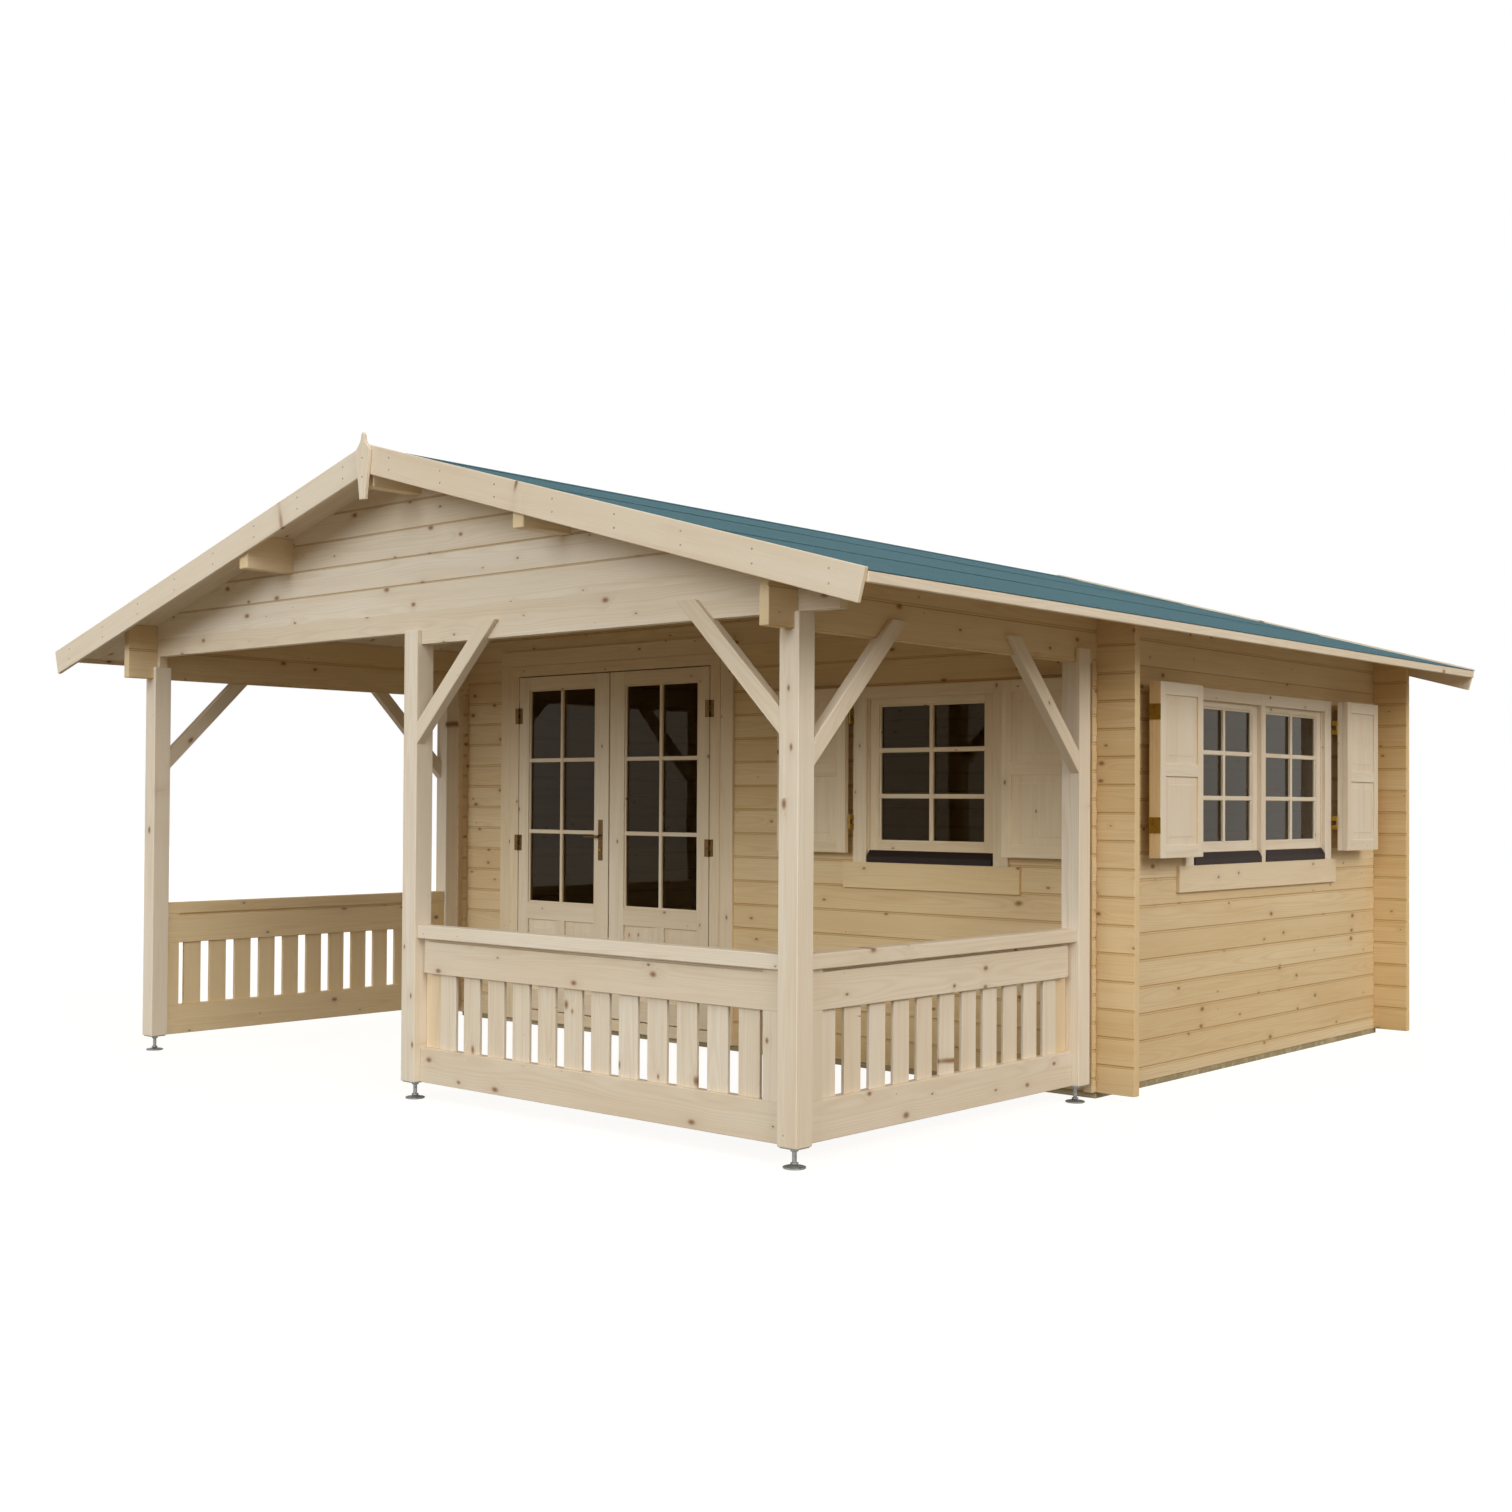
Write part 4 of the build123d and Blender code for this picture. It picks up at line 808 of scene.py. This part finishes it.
class CabinWallsOperator(bpy.types.Operator):
    """Dress the stacked logs of the walls and gables"""

    bl_idname = "cabin.walls"
    bl_label = "Log walls"

    def execute(self, context):
        sizes = context.scene.cabin_sizes
        front_base, side_base = sizes.wall_base, sizes.wall_base - sizes.log_height / 2
        # The last number is painted shade, darker and warmer, on walls under the porch roof and at the back
        for node, along, base, yellow in (
            ("front_wall_left", "x", front_base, 0.0), ("front_wall_over_door", "x", front_base, 0.0),
            ("front_wall_right", "x", front_base, 0.3), ("back_wall", "x", front_base, 0.5),
            ("cabin_front_gable", "x", front_base, 0.0), ("cabin_back_gable", "x", front_base, 0.0),
            ("porch_gable", "x", front_base, 0.0), ("left_wall", "y", side_base, 0.0),
            ("right_wall", "y", side_base, 0.0), ("plate_logs", "y", side_base, 0.0),
        ):
            key = "spruce_boards" if node == "porch_gable" else "spruce_logs"
            logs = Timber("logs_" + node, key, yellow).copy(node, along, base)
            logs.finish(replaces=[node], slot="spruce_logs")
        return {"FINISHED"}


class CabinFloorOperator(bpy.types.Operator):
    """Lay the floor boards and the treated battens under them"""

    bl_idname = "cabin.floor"
    bl_label = "Floor"

    def execute(self, context):
        low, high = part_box("cabin_floor")
        boards = Timber("floor_boards", "spruce_boards")
        for start, end in rows(low.x, high.x, context.scene.cabin_sizes.floor_board):
            boards.board(*cut_to(low, high, 0, start, end), "y")
        boards.finish(replaces=["cabin_floor"])
        battens = Timber("bearer_battens", "treated_battens").copy("foundation_bearers", "x")
        battens.finish(replaces=["foundation_bearers"])
        return {"FINISHED"}


class CabinRoofOperator(bpy.types.Operator):
    """Lay the roof boards from ridge to eaves and dress the purlins and eave boards"""

    bl_idname = "cabin.roof"
    bl_label = "Roof boards"

    def execute(self, context):
        low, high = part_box("roof_boards")
        stop_if(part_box("eave_boards")[1].z > high.z, "the eave boards lie above the roof boards")
        rise, slope = ROOF_BOARD_THICK / math.cos(roof_angle()), math.tan(roof_angle())
        top, foot = high.z, high.z - slope * high.x
        boards = Timber("roof_boarding", "spruce_boards")
        for side in (-1, 1):
            near, far = side * RIDGE_JOINT / 2, side * high.x
            outline = ((near, top - rise), (far, foot - rise), (far, foot), (near, top))
            for places in rows(low.y, high.y, context.scene.cabin_sizes.roof_board):
                boards.solid([[(x, y, z) for x, z in outline] for y in places], slope_turn(side), ease=0.002)
        boards.finish(replaces=["roof_boards"])
        # The purlins get painted shade, darker and warmer, for the shade under the eaves
        for node, name, yellow in (("roof_purlins", "purlins", 0.5), ("eave_boards", "eave_fascias", 0.0)):
            Timber(name, "spruce_boards", yellow).copy(node, "y").finish(replaces=[node])
        return {"FINISHED"}


class CabinFeltOperator(bpy.types.Operator):
    """Lay the strips of roofing felt with their laps, ridge cap and clout nails"""

    bl_idname = "cabin.felt"
    bl_label = "Roofing felt"

    def execute(self, context):
        sizes = context.scene.cabin_sizes
        low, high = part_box("roof_felt")
        self.start, self.end = low.y, high.y
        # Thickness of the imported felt, and how far the lifted lower edge stands off the boards.
        solid_thick, edge_lift = 0.004, 0.0045
        self.peak = Vector((0, 0, high.z - solid_thick / math.cos(roof_angle())))
        slope_length = high.x / math.cos(roof_angle()) - edge_lift * math.tan(roof_angle())
        courses = math.ceil((slope_length - 0.1) / sizes.felt_course)
        cover = slope_length / courses
        felt = Piece("felt_strips", "roofing_felt")
        draw = random.Random("felt")
        for side, n in product((-1, 1), range(courses)):
            near, far = slope_length - (n + 1) * cover, slope_length - n * cover
            # Places down the slope, from the hidden upper edge, each with its lift off the boards.
            steps = [
                (max(near - sizes.felt_lap, 0.0), 0.0002), (near, 0.0004), (near + 0.05, 0.0006),
                ((near + far) / 2, 0.0009), (far - 0.03, 0.0022), (far, 0.0026),
            ]
            self.add_strip(felt, side, n, steps, draw)
        felt.finish(replaces=["roof_felt"])
        self.make_ridge_cap()
        nails_in = 0.02
        self.make_nails(sizes, [slope_length - n * cover - nails_in for n in range(courses)])
        return {"FINISHED"}

    def on_slope(self, side, down, y, lift):
        """Place on one slope, down from the peak and lifted off the boards."""
        turn = slope_turn(side)
        return self.peak + turn[0] * side * down + Vector((0, y, 0)) + turn[2] * lift

    def add_sheet(self, felt, lower, upper):
        """Closed sheet between two grids of places."""
        grids = [[[felt.mesh.verts.new(place) for place in row] for row in grid] for grid in (lower, upper)]
        last_row, last = len(lower) - 1, len(lower[0]) - 1
        squares = [(0, 0), (0, 1), (1, 1), (1, 0)]
        rings = []
        for r, c in product(range(last_row), range(last)):
            rings += [[grid[r + down][c + over] for down, over in squares] for grid in grids]
        for r, c in product(range(last_row), (0, last)):
            rings.append([grids[face][r + down][c] for down, face in squares])
        for r, c in product((0, last_row), range(last)):
            rings.append([grids[face][r][c + over] for over, face in squares])
        felt.faces(rings)

    def add_strip(self, felt, side, n, steps, draw):
        """Strip number n from the eaves, a little wavy, its lower edge cut by hand."""
        pieces, last, wave_height, uneven = 46, len(steps) - 1, 0.0002, 0.0012
        lower, upper = [], []
        for r in range(pieces + 1):
            y = self.start + (self.end - self.start) * r / pieces
            for grid in (lower, upper):
                grid.append([])
            for c, (down, lift) in enumerate(steps):
                wave = wave_height * math.sin(y * 3.1 + n * 2 + c) if 0 < c < last else 0.0
                edge = draw.uniform(-uneven, uneven) if n and c == last else 0.0
                for grid, thick in ((lower, 0.0), (upper, FELT_THICK)):
                    grid[-1].append(self.on_slope(side, down + edge, y, lift + wave + thick))
        self.add_sheet(felt, lower, upper)

    def make_ridge_cap(self):
        """Strip of felt folded over the ridge."""
        lift, wide, fold = 0.0030, 0.15, 0.0016
        places = (-wide, -wide / 2, -0.02, 0, 0.02, wide / 2, wide)

        def point(place, y, thick):
            drop = Vector((0, 0, 0 if place else fold))
            return self.on_slope(1 if place >= 0 else -1, abs(place), y, lift + thick) - drop

        grids = [
            [[point(place, y, thick) for place in places] for y in (self.start, self.end)]
            for thick in (0.0, FELT_THICK)
        ]
        cap = Piece("felt_ridge", "roofing_felt")
        self.add_sheet(cap, *grids)
        cap.finish()

    def make_nails(self, sizes, downs):
        """Clout nails along the laps."""
        nails = Metal("felt_nails", "zinc_steel")
        wide, margin, lift = self.end - self.start, 0.03, 0.0030
        count = int(wide / sizes.nail_spacing)
        for side, down, n in product((-1, 1), downs, range(count + 1)):
            y = self.start + margin + (wide - 2 * margin) * n / count
            at = self.on_slope(side, down, y, lift)
            profile = [(0, 0.0045), (0.0012, 0.0045), (0.0016, 0.0035), (0.0016, 0)]
            nails.turned(at, slope_turn(side)[2], profile, 8)
        nails.finish()


class CabinGableTrimOperator(bpy.types.Operator):
    """Dress the gable boards and the finial and drive their screws"""

    bl_idname = "cabin.gable_trim"
    bl_label = "Gable boards"

    def execute(self, context):
        slope, first_screw, spacing = math.tan(roof_angle()), 0.16, 0.335
        screws = Metal("gable_screws", "zinc_steel")
        face, top = self.dress_board("gable_finials", "trim_finials", "z", -1)
        screws.screw_heads([(0, face, top - drop) for drop in (0.11, 0.19)], (0, -1, 0))
        for node, way in (("front_gable_boards", -1), ("back_gable_boards", 1)):
            face, top = self.dress_board(
                node, "trim_" + node, lambda low, high: slope_turn(1 if low.x + high.x > 0 else -1), way
            )
            out = [first_screw + n * spacing for n in range(8)]
            places = [
                (side * x, face, top - slope * x - drop)
                for side, x, drop in product((-1, 1), out, (0.035, 0.085))
            ]
            screws.screw_heads(places, (0, way, 0))
        screws.finish()
        return {"FINISHED"}

    def dress_board(self, node, name, along, way):
        """Dress a node and return its outer face and its top.

        The face is planed back a little, so that the screw heads in it stay within the cabin's box.
        """
        low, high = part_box(node)
        planed = 0.0007
        face = (low.y if way < 0 else high.y) - way * planed
        boards = Timber(name, "spruce_boards").copy(node, along)
        for vert in boards.mesh.verts:
            if (vert.co.y - face) * way > 0:
                vert.co.y = face
        boards.finish(replaces=[node])
        return face, high.z


class CabinPorchOperator(bpy.types.Operator):
    """Dress the posts and braces of the porch"""

    bl_idname = "cabin.porch"
    bl_label = "Porch frame"

    def execute(self, context):
        for node, name, along in (
            ("porch_posts", "timber_posts", "z"), ("post_braces", "timber_braces", self.along_brace),
        ):
            Timber(name, "spruce_boards").copy(node, along).finish(replaces=[node])
        return {"FINISHED"}

    def along_brace(self, low, high):
        """Grain frame of a brace that rises from a post at 45 degrees."""
        post_half, porch_middle = 0.045, -1.5
        if high.x - low.x > high.y - low.y:
            way, through = Vector((1 if abs(low.x - post_half) < 0.01 else -1, 0, 0)), (0, 1, 0)
        else:
            way, through = Vector((0, 1 if (low.y + high.y) / 2 < porch_middle else -1, 0)), (1, 0, 0)
        up = Vector((0, 0, 1))
        return Matrix(((up + way).normalized(), (up - way).normalized(), through))


class CabinRailingsOperator(bpy.types.Operator):
    """Build the railings: handrails, wide boards, stiles and slats"""

    bl_idname = "cabin.railings"
    bl_label = "Railings"

    def execute(self, context):
        self.make_panel("front_railing", "x", -1, -1, 0.096, (0.253, 0.240, 11), 0.0)
        self.make_panel("right_railing", "y", 1, 1, 0.096, (0.218, 0.228, 10), 0.0)
        # The last number is painted shade: the left railing, seen from inside the porch, is painted darker
        # and warmer for its shade
        self.make_panel("left_railing", "y", 1, -1, 0.066, (0.077, 0.225, 11), 0.8)
        return {"FINISHED"}

    def make_panel(self, node, axis, way, out, stile, slots, yellow):
        """One panel, its places counted from its near end and inwards from its outer face.

        way and out are 1 or -1: the direction from the near end, and the side that faces outwards.
        slots gives the distances of the first and the last slot from the ends, and their number.
        """
        low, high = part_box(node)
        n = "xy".index(axis)
        m = 1 - n
        near, face = (low if way > 0 else high)[n], (high if out > 0 else low)[m]
        reach = high[n] - low[n]
        rails = Timber("timber_" + node, "spruce_boards", yellow)

        def put(along, inward, up, grain, ease=0.001):
            first, last = Vector((0, 0, up[0])), Vector((0, 0, up[1]))
            first[n], last[n] = sorted(near + way * place for place in along)
            first[m], last[m] = sorted(face - out * place for place in inward)
            rails.board(first, last, grain, ease)

        hand_bottom, groove_bottom = high.z - 0.056, high.z - 0.070
        mid_bottom, foot_top = high.z - 0.206, low.z + 0.148
        boards, slats, gap, post_board = (0.022, 0.068), (0.040, 0.055), 0.040, 0.124
        put((0, reach), (0, 0.070), (hand_bottom, high.z), axis, 0.003)
        put((0, reach - gap), boards, (mid_bottom, groove_bottom), axis, 0.002)
        put((0, reach), boards, (low.z, foot_top), axis, 0.002)
        put((stile, reach), slats, (groove_bottom, hand_bottom), axis)
        put((reach - gap, reach), slats, (mid_bottom, groove_bottom), "z")
        put((0, stile), boards, (foot_top, mid_bottom), "z")
        put((0, stile), boards, (groove_bottom, hand_bottom), axis)
        # Painted shade: the recessed board by the far post is painted darker and warmer for the shade it
        # stands in
        rails.yellow += 0.5
        put((reach - post_board, reach), (slats[1], boards[1] - 0.0005), (foot_top, hand_bottom), "z")
        rails.yellow -= 0.5
        first, last, count = slots
        pitch, half_slot = (reach - first - last) / (count - 1), 0.026
        for k in range(count + 1):
            start = max(stile, first + (k - 1) * pitch + half_slot)
            end = first + k * pitch - half_slot
            if end > start:
                put((start, end), slats, (foot_top, mid_bottom), "z", 0.0015)
        rails.finish(replaces=[node])


class CabinFeetOperator(bpy.types.Operator):
    """Build the adjustable steel feet"""

    bl_idname = "cabin.feet"
    bl_label = "Steel feet"

    def execute(self, context):
        feet = Metal("adjustable_feet", "zinc_steel")
        for low, high in island_boxes("post_feet"):
            self.make_foot(feet, low, high)
        feet.finish(replaces=["post_feet"])
        return {"FINISHED"}

    def make_foot(self, feet, low, high):
        """Disc, threaded stem, nuts and plate of one foot."""
        at = ((low.x + high.x) / 2, (low.y + high.y) / 2, low.z)
        radius, plate, thick, pitch, root = (high.x - low.x) / 2, 0.038, 0.005, 0.0025, 0.010
        top, up = high.z - low.z - thick, (0, 0, 1)
        disc = [(0, 0), (0, radius - 0.002), (0.002, radius), (0.0055, radius), (0.007, radius - 0.003),
                (0.0085, 0.018), (0.013, 0.0105), (0.014, 0)]
        thread = [(root, 0)]
        for n in range(int((top - root) / pitch)):
            thread += [(root + n * pitch, 0.0078), (root + (n + 0.5) * pitch, 0.0090)]
        feet.turned(at, up, disc, 40)
        feet.turned(at, up, thread + [(top, 0.0078), (top, 0)])
        for start, tall in ((0.013, 0.008), (top - 0.012, 0.012)):
            nut = [(0, 0), (0, 0.0128), (0.0015, 0.0150), (tall - 0.0015, 0.0150), (tall, 0.0128), (tall, 0)]
            feet.turned((at[0], at[1], low.z + start), up, nut, 6)
        feet.plate(
            (at[0] - plate, at[1] - plate, high.z - thick), (at[0] + plate, at[1] + plate, high.z), 0.0008
        )


class CabinDoorFrameOperator(bpy.types.Operator):
    """Build the door frame and its casing board by board"""

    bl_idname = "cabin.door_frame"
    bl_label = "Door frame"

    def execute(self, context):
        low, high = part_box("door_casing")
        casing = Timber("door_casing_boards", yellow=PORCH_PAINTED_SHADE)
        wide, gap, stop = 0.086, 0.006, 0.014
        under = cut_to(low, high, 2, low.z, high.z - wide)
        for start in (low.x, high.x - wide):
            casing.board(*cut_to(*under, 0, start, start + wide), "z")
        casing.board(*cut_to(low, high, 2, high.z - wide, high.z), "x")
        casing.finish(replaces=["door_casing"])

        low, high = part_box("door_frame")
        left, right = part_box("door_leaf_left"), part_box("door_leaf_right")
        inner_low, inner_high = left[0].x - gap, right[1].x + gap
        sill, head = left[0].z - gap, left[1].z + gap
        jambs = Timber("door_frame_timbers", yellow=PORCH_PAINTED_SHADE)
        under = cut_to(low, high, 2, low.z, head)
        for start, end in ((low.x, inner_low), (inner_high, high.x)):
            jambs.board(*cut_to(*under, 0, start, end), "z")
        jambs.board(*cut_to(low, high, 2, head, high.z), "x")
        inside = cut_to(low, high, 0, inner_low, inner_high)
        jambs.board(*cut_to(*inside, 2, low.z, sill), "x")
        behind = cut_to(*cut_to(*inside, 2, sill, head), 1, left[1].y + gap, high.y)
        for start in (inner_low, inner_high - stop):
            jambs.board(*cut_to(*behind, 0, start, start + stop), "z")
        behind = cut_to(*behind, 0, inner_low + stop, inner_high - stop)
        for start, end in ((head - stop, head), (sill, sill + stop)):
            jambs.board(*cut_to(*behind, 2, start, end), "x")
        jambs.finish(replaces=["door_frame"])
        return {"FINISHED"}


class CabinDoorsOperator(bpy.types.Operator):
    """Build the two door leaves: stiles, rails, glazing bars, beads and moulded panels"""

    bl_idname = "cabin.doors"
    bl_label = "Door leaves"

    def execute(self, context):
        self.make_leaf("left")
        self.make_leaf("right")
        return {"FINISHED"}

    def make_leaf(self, name):
        """One leaf, its light glazed over a pair of panels."""
        low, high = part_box("door_leaf_" + name)
        glass_low, glass_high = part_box("door_glass_" + name)
        rebate, muntin, panel_half = 0.0078, 0.035, 0.013
        light = (glass_low.x + rebate, glass_high.x - rebate)
        light_up = (glass_low.z + rebate, glass_high.z - rebate)
        panel_top, panel_bottom = light_up[0] - 0.096, low.z + 0.112
        # Painted shade, darker and warmer, on the leaves under the porch roof
        leaf = Timber("leaf_" + name, yellow=0.3)
        for start, end in ((low.x, light[0]), (light[1], high.x)):
            leaf.board(*cut_to(low, high, 0, start, end), "z")
        inside = cut_to(low, high, 0, *light)
        for bottom, top in ((light_up[1], high.z), (panel_top, light_up[0]), (low.z, panel_bottom)):
            leaf.board(*cut_to(*inside, 2, bottom, top), "x")
        left, right = sum(light) / 2 - muntin, sum(light) / 2 + muntin
        leaf.board((left, low.y, panel_bottom), (right, high.y, panel_top), "z")
        for start, end in ((light[0], left), (right, light[1])):
            leaf.moulded_panel(
                (start, panel_bottom), (end, panel_top), (low.y + high.y) / 2, panel_half, 1
            )
        leaf.glazing(light, light_up, (glass_low.y, glass_high.y), (low.y, high.y), 1)
        leaf.finish("door_" + name, replaces=["door_leaf_" + name])


class CabinDoorFittingsOperator(bpy.types.Operator):
    """Make the door handle and dress the hinges"""

    bl_idname = "cabin.door_fittings"
    bl_label = "Door fittings"

    def execute(self, context):
        dress(("door_hinges_left", "door_hinges_right", "door_frame_hinges"), "aged_brass")
        self.make_handle()
        return {"FINISHED"}

    def make_handle(self):
        """Plates, levers and lock cylinders on both faces of the left leaf."""
        low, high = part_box("door_handle")
        leaf_low, leaf_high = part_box("door_leaf_left")
        half_plate, thick, middle_up = 0.017, 0.004, (low.z + high.z) / 2
        middle, lever_up = high.x - half_plate, middle_up + 0.019
        handle, lock = Metal("handle_set", "aged_brass"), Metal("lock_cylinders", "brass_fittings")
        lever = [(0, 0), (0, 0.0078), (0.02, 0.0072), (0.06, 0.0062), (0.095, 0.0070), (0.104, 0.0066),
                 (0.108, 0.0040), (0.108, 0)]
        cylinder = [(0, 0.0098), (0.0055, 0.0098), (0.0075, 0.0086), (0.0080, 0.0046), (0.0066, 0.0040),
                    (0.0066, 0)]
        for face, way, end in ((leaf_low.y, -1, low.y), (leaf_high.y, 1, high.y)):
            plate_face = face + way * thick
            near, far = sorted((face, plate_face))
            handle.plate((middle - half_plate, near, low.z), (high.x, far, high.z), 0.0015)
            reach, out = abs(end - plate_face), (0, way, 0)
            neck = [(0, 0.014), (0.002, 0.0135), (0.004, 0.0095), (reach - 0.012, 0.0082),
                    (reach - 0.002, 0.0070), (reach, 0.0045), (reach, 0)]
            handle.turned((middle, plate_face, lever_up), out, neck, 24)
            handle.turned((middle, end - way * 0.008, lever_up), (-1, 0, 0), lever, 24)
            lock.turned((middle, face + way * 0.0035, lever_up - 0.072), out, cylinder, 24)
            for rise in (0.104, -0.104):
                handle.screw_heads([(middle, face + way * 0.0042, middle_up + rise)], out, 0.0034)
        handle.finish("door_left", replaces=["door_handle"], slot="brass_fittings")
        lock.finish("door_left")


class CabinWindowsOperator(bpy.types.Operator):
    """Build the window frames, sashes, casings, aprons and sills"""

    bl_idname = "cabin.windows"
    bl_label = "Windows"

    def execute(self, context):
        self.make_frames()
        self.make_sashes()
        # The last two numbers are painted shade, darker and warmer, on front and side pieces; the front apron
        # under the sill and the porch roof gets the most
        for node, name, make, front_painted_shade, side_painted_shade in (
            ("window_casings", "window_casing_boards", self.make_casing, PORCH_PAINTED_SHADE, 0.0),
            ("window_aprons", "window_apron_boards", self.make_apron, 1.0, 0.4),
        ):
            timber = Timber(name)
            for low, high in island_boxes(node):
                front = high.x - low.x > high.y - low.y
                timber.yellow = front_painted_shade if front else side_painted_shade
                make(timber, low, high, "x" if front else "y")
            timber.finish(replaces=[node])
        sills = Timber("window_sill_strips", "dark_sill").copy("window_sills", longest_turn)
        sills.finish(replaces=["window_sills"])
        return {"FINISHED"}

    def make_frames(self):
        """Frames of two posts, a head and a foot rail, and the mullion of the double window."""
        side, foot, head = 0.036, 0.062, 0.036
        for node, along, yellow in (
            ("front_window_frame", "x", PORCH_PAINTED_SHADE), ("side_window_frame", "y", 0.0),
        ):
            low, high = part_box(node)
            ring = Timber(node + "_timbers", yellow=yellow)
            ring.ring_boards(low, high, along, side, foot, head)
            if along == "y":
                middle = (low.y + high.y) / 2
                mullion = cut_to(low, high, 1, middle - MULLION_HALF, middle + MULLION_HALF)
                ring.board(*cut_to(*mullion, 2, low.z + foot, high.z - head), "z")
            ring.finish(replaces=[node])

    def make_sashes(self):
        """Sashes with stiles, rails, glazing bars and beads."""
        front, (low, high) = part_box("front_window_sash"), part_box("side_window_sashes")
        wide = front[1].x - front[0].x
        sash = Timber("front_sash", yellow=PORCH_PAINTED_SHADE)
        self.add_sash(sash, *front, 0)
        sash.finish(replaces=["front_window_sash"])
        sashes = Timber("side_sashes")
        for start in (low.y, high.y - wide):
            self.add_sash(sashes, *cut_to(low, high, 1, start, start + wide), 1)
        sashes.finish(replaces=["side_window_sashes"])

    def add_sash(self, timber, low, high, n):
        """One sash that runs along axis n."""
        m, stile, foot, head, half_pane = 1 - n, 0.051, 0.037, 0.045, 0.0018
        first, last = timber.ring_boards(low, high, "xy"[n], stile, foot, head)
        middle = (low[m] + high[m]) / 2
        timber.glazing(
            (first[n], last[n]), (low.z + foot, high.z - head),
            (middle - half_pane, middle + half_pane), (low[m], high[m]), m,
        )

    def make_apron(self, timber, low, high, along):
        """Wide board under a window."""
        timber.board(low, high, along)

    def make_casing(self, timber, low, high, along):
        """Boards beside and over a window, and one over the mullion of the double window."""
        if along == "x":
            timber.ring_boards(low, high, "x", CASING_SIDE, 0.0, CASING_HEAD)
            return
        middle, top = (low.y + high.y) / 2, cut_to(low, high, 2, high.z - CASING_HEAD, high.z)
        timber.board(*cut_to(low, high, 1, middle - MULLION_HALF, middle + MULLION_HALF), "z")
        for end, way in ((low.y, 1), (high.y, -1)):
            side, inner = end + way * CASING_SIDE, middle - way * MULLION_HALF
            timber.board(*cut_to(low, high, 1, *sorted((end, side))), "z")
            timber.board(*cut_to(*top, 1, *sorted((side, inner))), "y")


class CabinGlassOperator(bpy.types.Operator):
    """Dress the panes of the doors and windows"""

    bl_idname = "cabin.glass"
    bl_label = "Glass"

    def execute(self, context):
        dress(("door_glass_left", "door_glass_right", "window_glass"), "clear_glass")
        return {"FINISHED"}


class CabinShuttersOperator(bpy.types.Operator):
    """Build the shutter leaves with their moulded panels and dress their hinges"""

    bl_idname = "cabin.shutters"
    bl_label = "Shutters"

    def execute(self, context):
        # The last number is painted shade, darker and warmer, on the front shutters under the porch roof
        for node, body, yellow in (
            ("front_shutter_left", "shutter_left", 0.5), ("front_shutter_right", "cabin", 0.5),
            ("side_shutter_front", "cabin", 0.0), ("side_shutter_back", "cabin", 0.0),
        ):
            leaves = Timber("leaves_" + node, yellow=yellow)
            for low, high in island_boxes(node):
                self.make_leaf(leaves, low, high)
            if node == "side_shutter_front":
                self.yellow_edges(leaves)
            leaves.finish(body, replaces=[node])
        dress(("shutter_hinges_left", "fixed_shutter_hinges"), "brass_fittings")
        return {"FINISHED"}

    def yellow_edges(self, timber):
        """Paint warm, darker shade on the faces that face the porch side, standing in for how light falls on
        them.
        """
        timber.mesh.normal_update()
        for face in timber.mesh.faces:
            if face.normal.y < -0.9:
                for loop in face.loops:
                    loop[timber.traits] = (*loop[timber.traits][:2], 1.0)

    def make_leaf(self, timber, low, high):
        """Framed leaf with two moulded panels."""
        n = 0 if high.x - low.x > high.y - low.y else 1
        m, stile, rail, panel_half = 1 - n, 0.052, 0.058, 0.009
        middle = (low.z + high.z) / 2
        first, last = timber.ring_boards(low, high, "xy"[n], stile, rail, rail)
        timber.board(*cut_to(first, last, 2, middle - rail / 2, middle + rail / 2), "xy"[n])
        for bottom, top in ((low.z + rail, middle - rail / 2), (middle + rail / 2, high.z - rail)):
            timber.moulded_panel(
                (first[n], bottom), (last[n], top), (low[m] + high[m]) / 2, panel_half, m, 0.035, 0.004
            )


# ---------------------------------------------------------------- add-on
OPERATORS = (
    CabinStageOperator, CabinWallsOperator, CabinFloorOperator, CabinRoofOperator,
    CabinFeltOperator, CabinGableTrimOperator, CabinPorchOperator, CabinRailingsOperator,
    CabinFeetOperator, CabinDoorFrameOperator, CabinDoorsOperator, CabinDoorFittingsOperator,
    CabinWindowsOperator, CabinGlassOperator, CabinShuttersOperator,
)


class CabinPanel(bpy.types.Panel):
    """Lists the pieces of the cabin"""

    bl_idname = "VIEW3D_PT_cabin"
    bl_label = "Log cabin"
    bl_space_type = "VIEW_3D"
    bl_region_type = "UI"
    bl_category = "Cabin"

    def draw(self, context):
        for group in ("cabin_sizes", "cabin_colours", "cabin_stage"):
            settings = getattr(context.scene, group)
            box = self.layout.box()
            for name in settings.bl_rna.properties.keys():
                if name not in ("rna_type", "name"):
                    box.prop(settings, name)
        for operator in OPERATORS:
            self.layout.operator(operator.bl_idname)


GROUPS = {"cabin_sizes": CabinSizes, "cabin_colours": CabinColours, "cabin_stage": CabinStage}
CLASSES = (*GROUPS.values(), *OPERATORS, CabinPanel)


def register():
    """Register the classes and the settings."""
    for made in CLASSES:
        bpy.utils.register_class(made)
    for name, group in GROUPS.items():
        setattr(bpy.types.Scene, name, PointerProperty(type=group))


def unregister():
    """Remove the settings and the classes."""
    for name in GROUPS:
        delattr(bpy.types.Scene, name)
    for made in reversed(CLASSES):
        bpy.utils.unregister_class(made)


def main():
    """Build every piece in order."""
    register()
    for operator in OPERATORS:
        group, name = operator.bl_idname.split(".")
        getattr(getattr(bpy.ops, group), name)()


if __name__ == "__main__":
    main()
